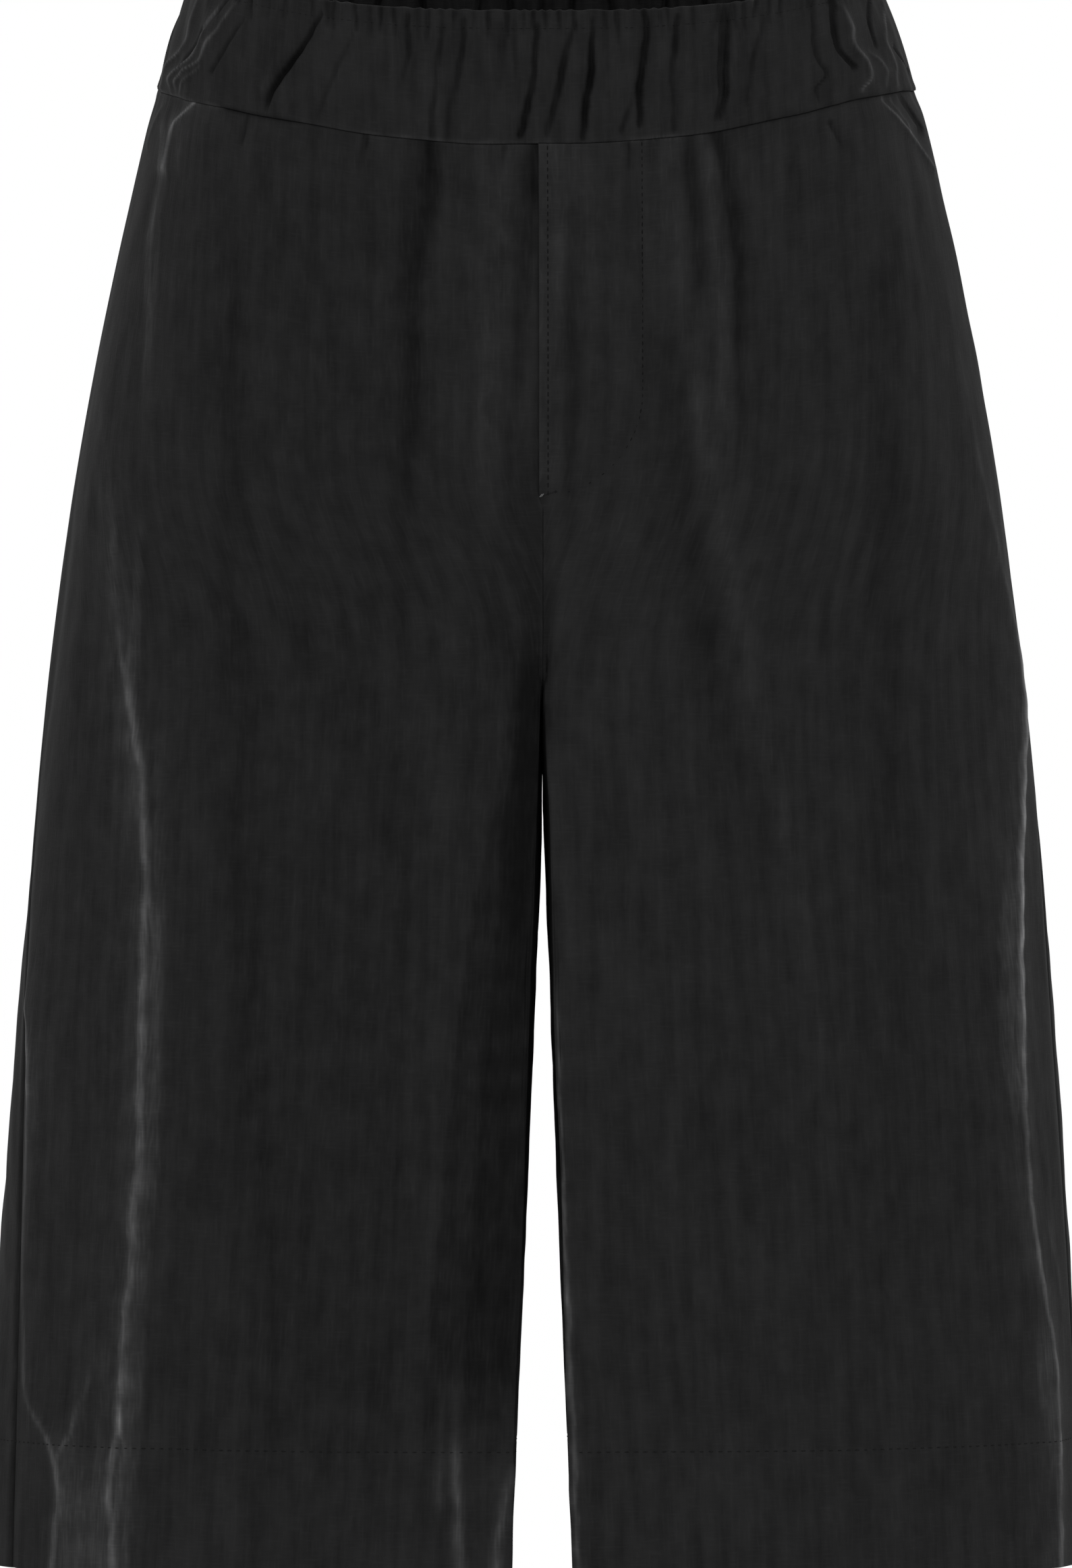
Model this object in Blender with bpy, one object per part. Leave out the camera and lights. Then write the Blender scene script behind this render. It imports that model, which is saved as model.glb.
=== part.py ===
"""Wide-leg bermuda shorts in linen, on a gathered elastic waistband, hollow and open as worn.

The front faces -Y, +X is the wearer's left and Z is up.  The origin is the middle of the waistband's
loop, where the wearer carries the shorts.  Tables are in millimetres and the meshes in metres.

Each leg is a loft of half rings.  A half ring starts at the centre front seam (or at the inseam,
below the crotch), passes the side seam and ends at the centre back seam (or at the inseam again).
"""

import math
from types import SimpleNamespace

import bpy
import numpy as np

MM = 0.001

# Driving sizes, in millimetres
ORIGIN_HEIGHT = 568.0      # the frame's origin over the hem: halfway up the band
CROTCH_HEIGHT = 295.0      # where the four leg seams meet
FRONT_FORK_HEIGHT = 385.0  # where the centre front seam starts to curve under
BACK_FORK_HEIGHT = 420.0   # the same for the centre back seam
HEM_DEPTH = 45.0           # turned-up hem
CLOTH = 1.5                # wall of a single layer
HEM_CLOTH = 3.0            # wall where the hem is turned up
BAND_CLOTH = 3.2           # wall of the gathered band, two layers over elastic
SEAM_GAP = 0.3             # between neighbouring pieces

# Fly: a J-shaped layer behind the left front, which lifts the panel in front of it
FLY_WIDTH = 36.0           # from the centre front to the J stitching
FLY_FOOT_HEIGHT = 399.0    # foot of the J, as a level of the table below
FLY_CURVE = 42.0           # height of the J's curved foot
FLY_LIFT = 1.0             # how far the panel stands out in front of the layer
FLY_EDGE = 5.0             # width over which that lift fades out
FACING_CLOTH = 1.2
FACING_GAP = 0.5           # behind the panel, clear of its facets
FACING_INSET = 1.5         # from the J's stitching and from the centre front
FACING_FOOT = 4.0          # the layer ends this far above the foot of its stitching

# Mesh density
CORNER_COLUMNS = 6         # of a panel, from its centre seam or inseam round the corner
FACE_COLUMNS = 15          # of a panel, from the corner to its side seam
BAND_COLUMNS = 54
FACING_ROWS = 9
FACING_COLUMNS = 5
CURVE_STEPS = 40           # points on each of a half ring's four curves
TURN_WEIGHT = 22.0         # columns crowd where a ring turns: a radian counts as this much length
PANEL_LEVELS = (542.85, 516.0, 486.0, 456.0, 426.0, 402.0, 385.0, 354.2, 327.1, 307.1, 298.1, 295.0,
                266.0, 226.0, 186.0, 146.0, 106.0, 72.0, 45.4, 44.6, 20.0, 0.0)
BAND_LEVELS = (593.0, 586.0, 576.0, 564.0, 552.0, 543.15)

# The form, one row for each level.  height is over the hem, at the side seam.  half_width, front and
# back are reaches from the origin's axis.  drop and rise say how far the level dips at the centre
# front and climbs at the centre back.  The two corners are the widths over which each leg's front
# rounds into its inner side.  gap is from the middle plane to the leg's inner side.  side_seam is
# how far in front of the widest point the side seam runs.  Left and right are the wearer's.
FORM_COLUMNS = ("height", "half_width", "front", "back", "drop", "rise", "left_corner",
                "right_corner", "back_corner", "left_gap", "right_gap", "left_side_seam",
                "right_side_seam", "inseam")
FORM = (
    (593, 123.0, 92.0, 88.0, 26, 18, 20, 20, 20, 0.15, 0.15, 0, 0, 12),
    (568, 132.4, 102.0, 97.0, 26, 19, 20, 20, 20, 0.15, 0.15, 0, 0, 12),
    (543, 140.4, 112.0, 104.5, 26, 19, 20, 20, 20, 0.15, 0.15, 0, 0, 12),
    (500, 150.8, 118.5, 117.0, 22, 16, 20, 20, 20, 0.15, 0.15, 0, 0, 12),
    (450, 161.5, 122.0, 125.0, 15, 11, 20, 20, 20, 0.15, 0.15, 0, 2, 12),
    (400, 170.5, 122.5, 128.0, 9, 7, 16, 18, 20, 0.15, 0.15, 0, 4, 12),
    (350, 177.8, 121.5, 126.0, 4, 3, 7, 11, 24, 0.15, 0.15, 0, 7, 12),
    (295, 183.9, 120.0, 122.5, 0, 0, 9, 18, 34, 0.15, 0.15, 4, 12, 12),
    (250, 188.1, 118.0, 119.5, 0, 0, 11, 32, 40, 2.0, 1.6, 10, 17, 9),
    (200, 192.1, 115.8, 116.5, 0, 0, 13, 42, 42, 4.3, 3.3, 14, 25, 6),
    (150, 195.6, 113.8, 113.8, 0, 0, 14, 46, 42, 6.5, 5.0, 15, 31, 4),
    (100, 198.6, 112.2, 111.5, 0, 0, 14, 48, 42, 8.8, 6.8, 15, 35, 2),
    (50, 201.5, 111.0, 109.5, 0, 0, 14, 46, 42, 11.1, 8.5, 15, 38, 1),
    (0, 204.1, 110.0, 108.0, 0, 0, 14, 42, 42, 13.3, 10.2, 15, 40, 0),
)

# How full the ring's curves are: 0.55 is an ellipse, 1 a square corner
FRONT_FULL = 0.66          # along the front, from the centre to the side
BACK_FULL = 0.62
SIDE_FULL = 0.56           # up each side, front and back alike
CORNER_FULL = 0.72         # from the front or back into the inner side

# Where folds and gathers fade out
FOLD_EASE = 45.0           # past a fold's two ends
GATHER_EASE = 0.2          # past a gather's ends, as a share of the band's height
SIDE_EASE = 25.0           # towards the side seams
SEAM_EASE = 8.0            # towards the centre seams, and the band's side seams
BAND_HALF = 200.0          # length of half the band along its seam, which the gathers are placed on

CLOTH_COLOUR = (0.016, 0.016, 0.017)
BAND_COLOUR = (0.013, 0.013, 0.014)
CLOTH_ROUGHNESS = 0.85
CLOTH_SHEEN = 0.3
SHARP_ANGLE = 50.0

# Gathers of the band, each (foot, head, low, high, depth, spread).  foot and head are the distances
# from the centre front (from the centre back, on the back) to the crease at its lower and upper
# ends, measured round the seam; low and high are how far up the band it starts and ends, from 0 to
# 1; depth is how far it sinks, or stands out if negative, and spread is its half width.
FRONT_GATHERS = (
    (-160, -150, 0.0, 1.0, 2.0, 6),
    (-140, -132, 0.0, 1.0, -1.6, 6),
    (-108, -86, 0.0, 1.0, 3.0, 5),
    (-82, -67, 0.1, 1.0, 1.2, 6),
    (-50, -48, 0.2, 1.0, 1.6, 5),
    (-28, -26, 0.2, 1.0, 1.6, 5),
    (-7, 0, 0.0, 1.0, 2.4, 5),
    (8, 13, 0.0, 1.0, 2.4, 5),
    (19, 21, 0.0, 1.0, 2.8, 4),
    (37, 41, 0.0, 1.0, 2.6, 5),
    (51, 55, 0.0, 1.0, 1.8, 5),
    (66, 73, 0.1, 1.0, 2.8, 6),
    (82, 86, 0.3, 1.0, 1.4, 6),
    (112, 106, 0.0, 1.0, 2.0, 5),
    (130, 119, 0.0, 1.0, 2.6, 5),
    (139, 131, 0.0, 1.0, -1.8, 5),
    (160, 150, 0.0, 1.0, 2.0, 6),
)
BACK_GATHERS = (
    (-168, -158, 0.0, 1.0, 2.2, 6),
    (-149, -146, 0.0, 1.0, 2.0, 5),
    (-127, -133, 0.0, 1.0, 2.6, 6),
    (-104, -102, 0.2, 1.0, 1.8, 5),
    (-86, -93, 0.0, 1.0, 2.6, 5),
    (-65, -60, 0.0, 1.0, 2.2, 6),
    (-42, -45, 0.1, 1.0, 2.4, 5),
    (-24, -20, 0.0, 1.0, 1.8, 5),
    (-6, -8, 0.0, 1.0, 2.6, 5),
    (14, 18, 0.0, 1.0, 2.2, 6),
    (33, 31, 0.2, 1.0, 1.8, 5),
    (52, 57, 0.0, 1.0, 2.6, 6),
    (74, 70, 0.0, 1.0, 2.2, 5),
    (97, 103, 0.0, 1.0, 2.6, 6),
    (118, 117, 0.1, 1.0, 1.8, 5),
    (139, 132, 0.0, 1.0, 2.4, 6),
    (163, 155, 0.0, 1.0, 2.2, 6),
)

# Largest folds of the legs, each (top x, top, bottom x, bottom, rise, spread), seen from the front or
# from behind.  The two x are how far the fold lies from the middle plane at its ends, top and bottom
# are the heights of the ends over the hem, rise is how far it stands out (sinks in, if negative) and
# spread is its half width.
FRONT_FOLDS = (
    (-41, 520, -55, 370, -4.0, 9),
    (-20, 515, -26, 330, 2.0, 12),
    (56, 515, 58, 420, -2.5, 8),
    (62, 500, 67, 320, 2.2, 9),
    (66, 520, 78, 430, -2.5, 8),
    (52, 410, 74, 320, -2.0, 12),
    (-136, 540, -146, 420, 2.5, 9),
    (-150, 430, -142, 0, 3.5, 10),
    (-104, 420, -96, 0, -2.5, 22),
    (-186, 240, -178, 0, 2.0, 7),
    (176, 330, 184, 0, 2.5, 8),
    (100, 380, 96, 60, -1.6, 20),
)
BACK_FOLDS = (
    (-46, 545, -60, 400, -3.5, 10),
    (34, 545, 46, 380, -3.5, 10),
    (92, 540, 104, 420, -2.5, 9),
    (-104, 540, -118, 430, -2.5, 9),
    (-96, 330, -88, 0, 3.5, 22),
    (110, 320, 104, 0, 3.5, 24),
    (-160, 300, -168, 0, 3.0, 14),
    (62, 260, 54, 0, -3.0, 16),
    (166, 280, 172, 0, 2.5, 14),
)


# ---------------------------------------------------------------- sections


def smooth(xs, ys, x):
    """Cubic through a table's points, each with the mean slope of its neighbouring stretches."""
    slopes = np.gradient(ys, xs)
    i = min(max(int(np.searchsorted(xs, x)) - 1, 0), len(xs) - 2)
    span = xs[i + 1] - xs[i]
    t = min(max((x - xs[i]) / span, 0.0), 1.0)
    value = (1 + 2 * t) * (1 - t) ** 2 * ys[i] + t * t * (3 - 2 * t) * ys[i + 1]
    return value + span * (t * (1 - t) ** 2 * slopes[i] + t * t * (t - 1) * slopes[i + 1])


def form_at(height):
    """The row of FORM for any height, as named values."""
    rows = np.array(sorted(FORM), dtype=float)
    values = {name: smooth(rows[:, 0], rows[:, k], height) for k, name in enumerate(FORM_COLUMNS)}
    return SimpleNamespace(**values)


def bezier(corners, t):
    """Points of a cubic curve at the shares t of its parameter."""
    a, b, c, d = (np.array(corner, dtype=float) for corner in corners)
    t = np.asarray(t)[:, None]
    return (1 - t) ** 3 * a + 3 * t * (1 - t) ** 2 * b + 3 * t * t * (1 - t) * c + t ** 3 * d


def seam_depth(height, start, reach, inseam):
    """y of a centre seam: straight down to start, then a quarter of an ellipse to the crotch."""
    share = min(max((start - height) / (start - CROTCH_HEIGHT), 0.0), 1.0)
    return reach + (inseam - reach) * (1.0 - math.sqrt(1.0 - share * share))


def corner(gap, width, inseam, seam_y, reach):
    """Curve from a centre seam to the flat of the front or back, whose y is reach.

    The whole corner starts at the inseam.  Above the crotch it is cut off at the centre seam, and
    what is left is drawn in to the middle plane there.
    """
    knots = ((gap, inseam), (gap, inseam + CORNER_FULL * (reach - inseam)),
             (gap + (1 - CORNER_FULL) * width, reach), (gap + width, reach))
    t = np.linspace(0.0, 1.0, CURVE_STEPS)
    run = abs(bezier(knots, t)[:, 1] - inseam)
    start = min(float(np.interp(abs(seam_y - inseam), run, t)), 1.0 - 1.0 / CURVE_STEPS)
    points = bezier(knots, np.linspace(start, 1.0, CURVE_STEPS))
    away = 1.0 - np.linspace(0.0, 1.0, CURVE_STEPS)
    points -= away[:, None] ** 2 * (points[0] - np.array((gap, seam_y)))
    return points


def half_ring(height, side):
    """Outline of one leg at a level, seen from above, on the side of x > 0."""
    form = form_at(height)
    gap = form.left_gap if side > 0 else form.right_gap
    width = form.left_corner if side > 0 else form.right_corner
    seam_ahead = form.left_side_seam if side > 0 else form.right_side_seam
    front_y = seam_depth(height, FRONT_FORK_HEIGHT, -form.front, form.inseam)
    back_y = seam_depth(height, BACK_FORK_HEIGHT, form.back, form.inseam)
    front = corner(gap, width, form.inseam, front_y, -form.front)
    back = corner(gap, form.back_corner, form.inseam, back_y, form.back)[::-1]
    edge = form.half_width
    start, end = front[-1], back[0]
    t = np.linspace(0.0, 1.0, CURVE_STEPS)
    ahead = bezier((start, (start[0] + FRONT_FULL * (edge - start[0]), start[1]),
                    (edge, -SIDE_FULL * form.front), (edge, 0.0)), t)
    behind = bezier(((edge, 0.0), (edge, SIDE_FULL * form.back),
                     (end[0] + BACK_FULL * (edge - end[0]), end[1]), end), t)
    points = np.concatenate((front, ahead[1:], behind[1:], back[1:]))
    return measured(points, form, seam_ahead)


def measured(points, form, seam_ahead):
    """An outline with its lengths, its directions and the place of its side seam."""
    steps = np.diff(points, axis=0)
    length = np.concatenate(((0.0,), np.cumsum(np.hypot(steps[:, 0], steps[:, 1]))))
    tangent = np.gradient(points, length, axis=0)
    heading = np.unwrap(np.arctan2(tangent[:, 1], tangent[:, 0]))
    turned = np.concatenate(((0.0,), np.cumsum(np.abs(np.diff(heading)))))
    outer = slice(CURVE_STEPS - 1, 3 * CURVE_STEPS - 2)
    side_at = float(np.interp(-seam_ahead, points[outer, 1], length[outer]))
    return SimpleNamespace(points=points, length=length, tangent=tangent, form=form,
                           measure=length + TURN_WEIGHT * turned, side_at=side_at)


def stretch(ring, low, high, count):
    """count stations from low to high along an outline, closer together where it turns."""
    ends = np.interp((low, high), ring.length, ring.measure)
    return np.interp(np.linspace(ends[0], ends[1], count), ring.measure, ring.length)


def panel_stations(ring, back, inner_trim):
    """Stations of a panel: a fixed number round its corner, and the rest out to its side seam."""
    if back:
        corner_at = ring.length[-CURVE_STEPS]
        face = stretch(ring, ring.side_at + SEAM_GAP / 2, corner_at, FACE_COLUMNS)
        return np.append(face[:-1], stretch(ring, corner_at, ring.length[-1] - inner_trim,
                                            CORNER_COLUMNS))
    corner_at = ring.length[CURVE_STEPS - 1]
    face = stretch(ring, corner_at, ring.side_at - SEAM_GAP / 2, FACE_COLUMNS)
    return np.append(stretch(ring, inner_trim, corner_at, CORNER_COLUMNS), face[1:])


def level_points(ring, stations, height):
    """Points in space at stations of an outline, and the level outward directions there."""
    place = np.column_stack([np.interp(stations, ring.length, ring.points[:, k]) for k in (0, 1)])
    lead = np.column_stack([np.interp(stations, ring.length, ring.tangent[:, k]) for k in (0, 1)])
    ahead = np.minimum(place[:, 1], 0.0) / ring.form.front
    behind = np.maximum(place[:, 1], 0.0) / ring.form.back
    z = height + ahead * ring.form.drop + behind * ring.form.rise - ORIGIN_HEIGHT
    out = np.column_stack((lead[:, 1], -lead[:, 0], np.zeros(len(lead))))
    return np.column_stack((place, z)), out / np.linalg.norm(out, axis=1, keepdims=True)


# ---------------------------------------------------------------- folds


def fade(value, low, high, ease):
    """1 between low and high, fading to 0 over ease beyond them."""
    rising = np.clip((value - low) / ease + 1.0, 0.0, 1.0)
    falling = np.clip((high - value) / ease + 1.0, 0.0, 1.0)
    both = rising * falling
    return both * both * (3.0 - 2.0 * both)


def fold_relief(x, height, folds):
    """How far the panels stand out at x and height, with all the folds together."""
    relief = np.zeros_like(x)
    for top_x, top, bottom_x, bottom, rise, spread in folds:
        share = np.clip((top - height) / (top - bottom), 0.0, 1.0)
        across = (x - top_x - (bottom_x - top_x) * share) / spread
        relief += rise * fade(height, bottom, top, FOLD_EASE) * np.exp(-across ** 2)
    return relief


def gather_relief(around, share, gathers):
    """How far the band stands out, at a distance from its centre and a share of its height."""
    relief = np.zeros_like(around)
    for foot, head, low, high, depth, spread in gathers:
        across = (around - foot - (head - foot) * share) / spread
        relief -= depth * fade(share, low, high, GATHER_EASE) * np.exp(-across ** 2)
    return relief


def fly_width(height):
    """Width of the fly layer at a level: straight down to its foot, then a quarter of an ellipse."""
    above = min(max(height - FLY_FOOT_HEIGHT, 0.0), FLY_CURVE) / FLY_CURVE
    return FLY_WIDTH * math.sqrt(1.0 - (1.0 - above) ** 2)


def fly_relief(distance, height):
    """Lift of the left front over the fly layer, fading across the layer's edge."""
    width = fly_width(height)
    return FLY_LIFT * np.clip((width - distance) / FLY_EDGE + 0.5, 0.0, 1.0) * (width > 0.0)


# ---------------------------------------------------------------- pieces


def panel_grid(side, back):
    """Plain form of a leg panel: its points, outward directions and distances from the seam."""
    rows = []
    for height in PANEL_LEVELS:
        ring = half_ring(height, side)
        stations = panel_stations(ring, back, SEAM_GAP / 2 if height <= CROTCH_HEIGHT else 0.0)
        rows.append((*level_points(ring, stations, height), stations))
    return [np.array(part) for part in zip(*rows)]


def leg_panel(side, back):
    """Outer and inner faces of a leg panel.  side is 1 for the wearer's left and -1 for the right."""
    grid, out, distances = panel_grid(side, back)
    heights = grid[:, :, 2] + ORIGIN_HEIGHT
    relief = fold_relief(side * grid[:, :, 0], heights, BACK_FOLDS if back else FRONT_FOLDS)
    relief *= np.clip(np.abs(grid[:, :, 1]) / SIDE_EASE, 0.0, 1.0)
    relief *= np.clip((grid[:, :, 0] - SEAM_GAP) / SEAM_EASE, 0.0, 1.0)
    if side > 0 and not back:
        relief += np.array([fly_relief(d, h) for d, h in zip(distances, PANEL_LEVELS)])
    wall = np.where(np.array(PANEL_LEVELS) > HEM_DEPTH, CLOTH, HEM_CLOTH)[:, None, None]
    outer = grid + relief[:, :, None] * out
    faces = [outer, outer - wall * out]
    for face in faces:
        face[:, :, 0] = np.maximum(face[:, :, 0], SEAM_GAP / 2)
    return [mirrored(face) if side < 0 else face for face in faces]


def mirrored(grid):
    """A grid on the other side of the middle plane, its columns still going round to the left."""
    return (grid * np.array((-1.0, 1.0, 1.0)))[:, ::-1]


def waistband(back):
    """Outer and inner faces of half the waistband, from side seam to side seam."""
    flip = np.array((-1.0, 1.0, 1.0))
    order = slice(None, None, -1) if back else slice(None)
    rows = []
    for height in BAND_LEVELS:
        ring = half_ring(height, 1)
        middle = ring.length[-1] if back else 0.0
        stations = stretch(ring, middle, ring.side_at, BAND_COLUMNS // 2)
        around = np.abs(stations - middle) * BAND_HALF / abs(ring.side_at - middle)
        points, out = level_points(ring, stations, height)
        points[0, 0], out[0] = 0.0, (0.0, 1.0 if back else -1.0, 0.0)
        points = np.concatenate((points[:0:-1] * flip, points))[order]
        out = np.concatenate((out[:0:-1] * flip, out))[order]
        around = np.concatenate((-around[:0:-1], around))[order]
        rows.append((trim_ends(points), out, around))
    grid, out, around = (np.array(part) for part in zip(*rows))
    share = (np.array(BAND_LEVELS) - BAND_LEVELS[-1]) / (BAND_LEVELS[0] - BAND_LEVELS[-1])
    relief = gather_relief(around, share[:, None], BACK_GATHERS if back else FRONT_GATHERS)
    relief *= np.clip((BAND_HALF - np.abs(around)) / SEAM_EASE, 0.0, 1.0)
    outer = grid + relief[:, :, None] * out
    return outer, outer - BAND_CLOTH * out


def trim_ends(row):
    """A row of points with both ends drawn in by half a seam gap."""
    trimmed = row.copy()
    for end, neighbour in ((0, 1), (-1, -2)):
        step = row[neighbour] - row[end]
        trimmed[end] += step * (SEAM_GAP / 2) / np.linalg.norm(step)
    return trimmed


def fly_facing():
    """Outer and inner faces of the layer behind the left front."""
    rows = []
    levels = np.linspace(PANEL_LEVELS[0] - SEAM_GAP, FLY_FOOT_HEIGHT + FACING_FOOT, FACING_ROWS)
    for height in levels:
        stations = np.linspace(FACING_INSET, fly_width(height) - FACING_INSET, FACING_COLUMNS)
        rows.append(level_points(half_ring(height, 1), stations, height))
    grid, out = (np.array(part) for part in zip(*rows))
    outer = grid - (CLOTH + FACING_GAP) * out
    return outer, outer - FACING_CLOTH * out


# ---------------------------------------------------------------- Blender objects


def wall_faces(rows, columns):
    """Faces of a closed wall between two grids of points, the outer grid's numbered first."""
    inner = rows * columns
    faces = []
    for i in range(rows - 1):
        for j in range(columns - 1):
            a, b = i * columns + j, (i + 1) * columns + j
            faces.append((a, b, b + 1, a + 1))
            faces.append((inner + a, inner + a + 1, inner + b + 1, inner + b))
    top = list(range(columns))
    right = [i * columns + columns - 1 for i in range(1, rows)]
    bottom = [(rows - 1) * columns + j for j in range(columns - 2, -1, -1)]
    left = [i * columns for i in range(rows - 2, 0, -1)]
    edge = top + right + bottom + left
    for here, there in zip(edge, edge[1:] + edge[:1]):
        faces.append((here, there, inner + there, inner + here))
    return faces


def make_material(name, colour, roughness):
    material = bpy.data.materials.new(name)
    material.use_nodes = True
    shader = material.node_tree.nodes["Principled BSDF"]
    shader.inputs["Base Color"].default_value = (*colour, 1.0)
    shader.inputs["Roughness"].default_value = roughness
    shader.inputs["Metallic"].default_value = 0.0
    shader.inputs["Sheen Weight"].default_value = CLOTH_SHEEN
    return material


def make_piece(name, faces, colour, collection):
    """A closed wall of cloth between its outer and inner faces."""
    outer, inner = faces
    rows, columns = outer.shape[:2]
    points = np.concatenate((outer.reshape(-1, 3), inner.reshape(-1, 3))) * MM
    mesh = bpy.data.meshes.new(name)
    mesh.from_pydata(points.tolist(), [], wall_faces(rows, columns))
    mesh.validate()
    mesh.shade_smooth()
    mesh.set_sharp_from_angle(angle=math.radians(SHARP_ANGLE))
    mesh.materials.append(make_material(name, colour, CLOTH_ROUGHNESS))
    piece = bpy.data.objects.new(name, mesh)
    collection.objects.link(piece)
    return piece


def main():
    for old in list(bpy.data.objects):
        bpy.data.objects.remove(old, do_unlink=True)
    collection = bpy.data.collections.new("bermuda_shorts")
    bpy.context.scene.collection.children.link(collection)
    pieces = (
        ("waistband_front", waistband(False), BAND_COLOUR),
        ("waistband_back", waistband(True), BAND_COLOUR),
        ("front_left", leg_panel(1, False), CLOTH_COLOUR),
        ("front_right", leg_panel(-1, False), CLOTH_COLOUR),
        ("back_left", leg_panel(1, True), CLOTH_COLOUR),
        ("back_right", leg_panel(-1, True), CLOTH_COLOUR),
        ("fly_facing", fly_facing(), CLOTH_COLOUR),
    )
    for name, faces, colour in pieces:
        make_piece(name, faces, colour, collection)


main()
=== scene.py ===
import math
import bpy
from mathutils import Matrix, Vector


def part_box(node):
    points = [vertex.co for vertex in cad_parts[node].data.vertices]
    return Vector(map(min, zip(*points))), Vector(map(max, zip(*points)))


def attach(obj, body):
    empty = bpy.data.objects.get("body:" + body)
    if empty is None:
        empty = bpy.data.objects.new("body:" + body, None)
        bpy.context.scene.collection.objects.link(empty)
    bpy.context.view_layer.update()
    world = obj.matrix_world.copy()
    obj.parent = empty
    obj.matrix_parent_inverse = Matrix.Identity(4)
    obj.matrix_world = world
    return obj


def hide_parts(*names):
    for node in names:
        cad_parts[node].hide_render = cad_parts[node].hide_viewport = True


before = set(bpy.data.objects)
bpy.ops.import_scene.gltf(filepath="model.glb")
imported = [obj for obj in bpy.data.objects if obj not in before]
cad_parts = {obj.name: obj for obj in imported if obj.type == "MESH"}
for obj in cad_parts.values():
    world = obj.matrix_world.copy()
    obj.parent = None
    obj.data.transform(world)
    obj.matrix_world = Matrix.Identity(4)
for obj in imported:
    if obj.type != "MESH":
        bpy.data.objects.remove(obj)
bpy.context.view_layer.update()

from types import SimpleNamespace

import bpy
import numpy as np

# Linen bermuda shorts on a gathered band, hollow and open as worn.
# The front faces -Y, +X is the wearer's left. Sizes are in millimetres until a mesh is made.

mm = 0.001
originHeight = round(-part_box("front_left")[0][2] / mm, 2)  # the origin's height over the hem

print("form: the outline of the shorts at every level")

# One row for each level over the hem, at the side seam: half width, reach to the front and to the
# back, dip at the centre front and climb at the centre back, widths of the left front, right front
# and back corners, left and right gaps to the middle plane, how far the left and right side seams
# run ahead of the widest point, and y of the inseam.
form = {
    "names": ("height", "halfWidth", "front", "back", "drop", "rise", "leftCorner", "rightCorner",
              "backCorner", "leftGap", "rightGap", "leftSeam", "rightSeam", "inseam"),
    "levels": (
        (593, 123.0, 92.0, 88.0, 26, 18, 20, 20, 20, 0.01, 0.01, 0, 0, 12),
        (568, 132.4, 102.0, 97.0, 26, 19, 20, 20, 20, 0.01, 0.01, 0, 0, 12),
        (543, 140.4, 112.0, 104.5, 26, 19, 20, 20, 20, 0.01, 0.01, 0, 0, 12),
        (500, 150.8, 118.5, 117.0, 22, 16, 20, 20, 20, 0.01, 0.01, 0, 0, 12),
        (450, 161.5, 122.0, 125.0, 15, 11, 20, 20, 20, 0.01, 0.01, 0, 2, 12),
        (400, 170.5, 122.5, 128.0, 9, 7, 16, 18, 20, 0.01, 0.01, 0, 4, 12),
        (350, 177.8, 121.5, 126.0, 4, 3, 3, 3, 24, 0.01, 0.01, 5, 7, 12),
        (295, 183.9, 120.0, 122.5, 0, 0, 1.1, 1.4, 34, 0.01, 0.01, 11, 12, 12),
        (276, 185.6, 119.2, 121.3, 0, 0, 1.1, 1.4, 37, 1.0, 0.6, 14, 14, 11),
        (250, 188.1, 118.0, 119.5, 0, 0, 1.1, 1.4, 40, 1.95, 1.25, 17, 17, 9),
        (200, 192.1, 115.8, 116.5, 0, 0, 1.1, 1.4, 42, 4.3, 3.2, 20, 25, 6),
        (150, 195.6, 113.8, 113.8, 0, 0, 1.1, 1.4, 42, 6.8, 5.0, 19, 31, 4),
        (100, 198.6, 112.2, 111.5, 0, 0, 1.1, 1.4, 42, 8.8, 7.1, 18, 35, 2),
        (50, 201.5, 111.0, 109.5, 0, 0, 1.1, 1.4, 42, 11.1, 9.1, 18, 38, 1),
        (0, 204.1, 110.0, 108.0, 0, 0, 1.1, 1.4, 42, 13.1, 10.8, 18, 40, 0),
    ),
    "bandSeam": 543.0,     # level where the band is sewn to the legs
    "bandHeight": 50.0,
    "crotch": 295.0,       # where the four leg seams meet
    "frontFork": 330.0,    # where the centre front seam starts to curve under
    "backFork": 420.0,
    "frontFull": 0.66,     # how full the curves are: 0.55 is an ellipse, 1 a square corner
    "backFull": 0.62,
    "sideFull": 0.56,
    "cornerFull": 0.72,
    "bow": (0.80, 0.54),   # how much of the dip is taken back at the left and the right side
    "bowAtTop": 0.15,      # what share of that is left at the band's top
    "lean": 1.0,           # how far the inseams lie to the wearer's left, low down
    "leanMore": 1.4,       # and how much farther at the crotch
    "leanReach": 60.0,     # from the middle plane
    "edgeLean": 1.95,      # how far the left front's inner edge lies to the right
    "edgeReach": 40.0,
    # between which levels, and which places from front to back, each of these comes or fades
    "leanLevels": {"more": (140, 250), "fade": (400, 340), "edge": (270, 180)},
    "leanDepths": {"full": (-118, 9), "fade": (115, 65), "edge": (-50, -110)},
    "curveSteps": 140,
    "turnWeight": 22.0,    # columns crowd where the outline turns
}
formRows = np.array(sorted(form["levels"]), dtype=float)
ringStore = {}


def smoothAt(xs, ys, x):
    slopes = np.gradient(ys, xs)
    i = min(max(int(np.searchsorted(xs, x)) - 1, 0), len(xs) - 2)
    span = xs[i + 1] - xs[i]
    t = min(max((x - xs[i]) / span, 0.0), 1.0)
    value = (1 + 2 * t) * (1 - t) ** 2 * ys[i] + t * t * (3 - 2 * t) * ys[i + 1]
    return value + span * (t * (1 - t) ** 2 * slopes[i] + t * t * (t - 1) * slopes[i + 1])


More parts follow.
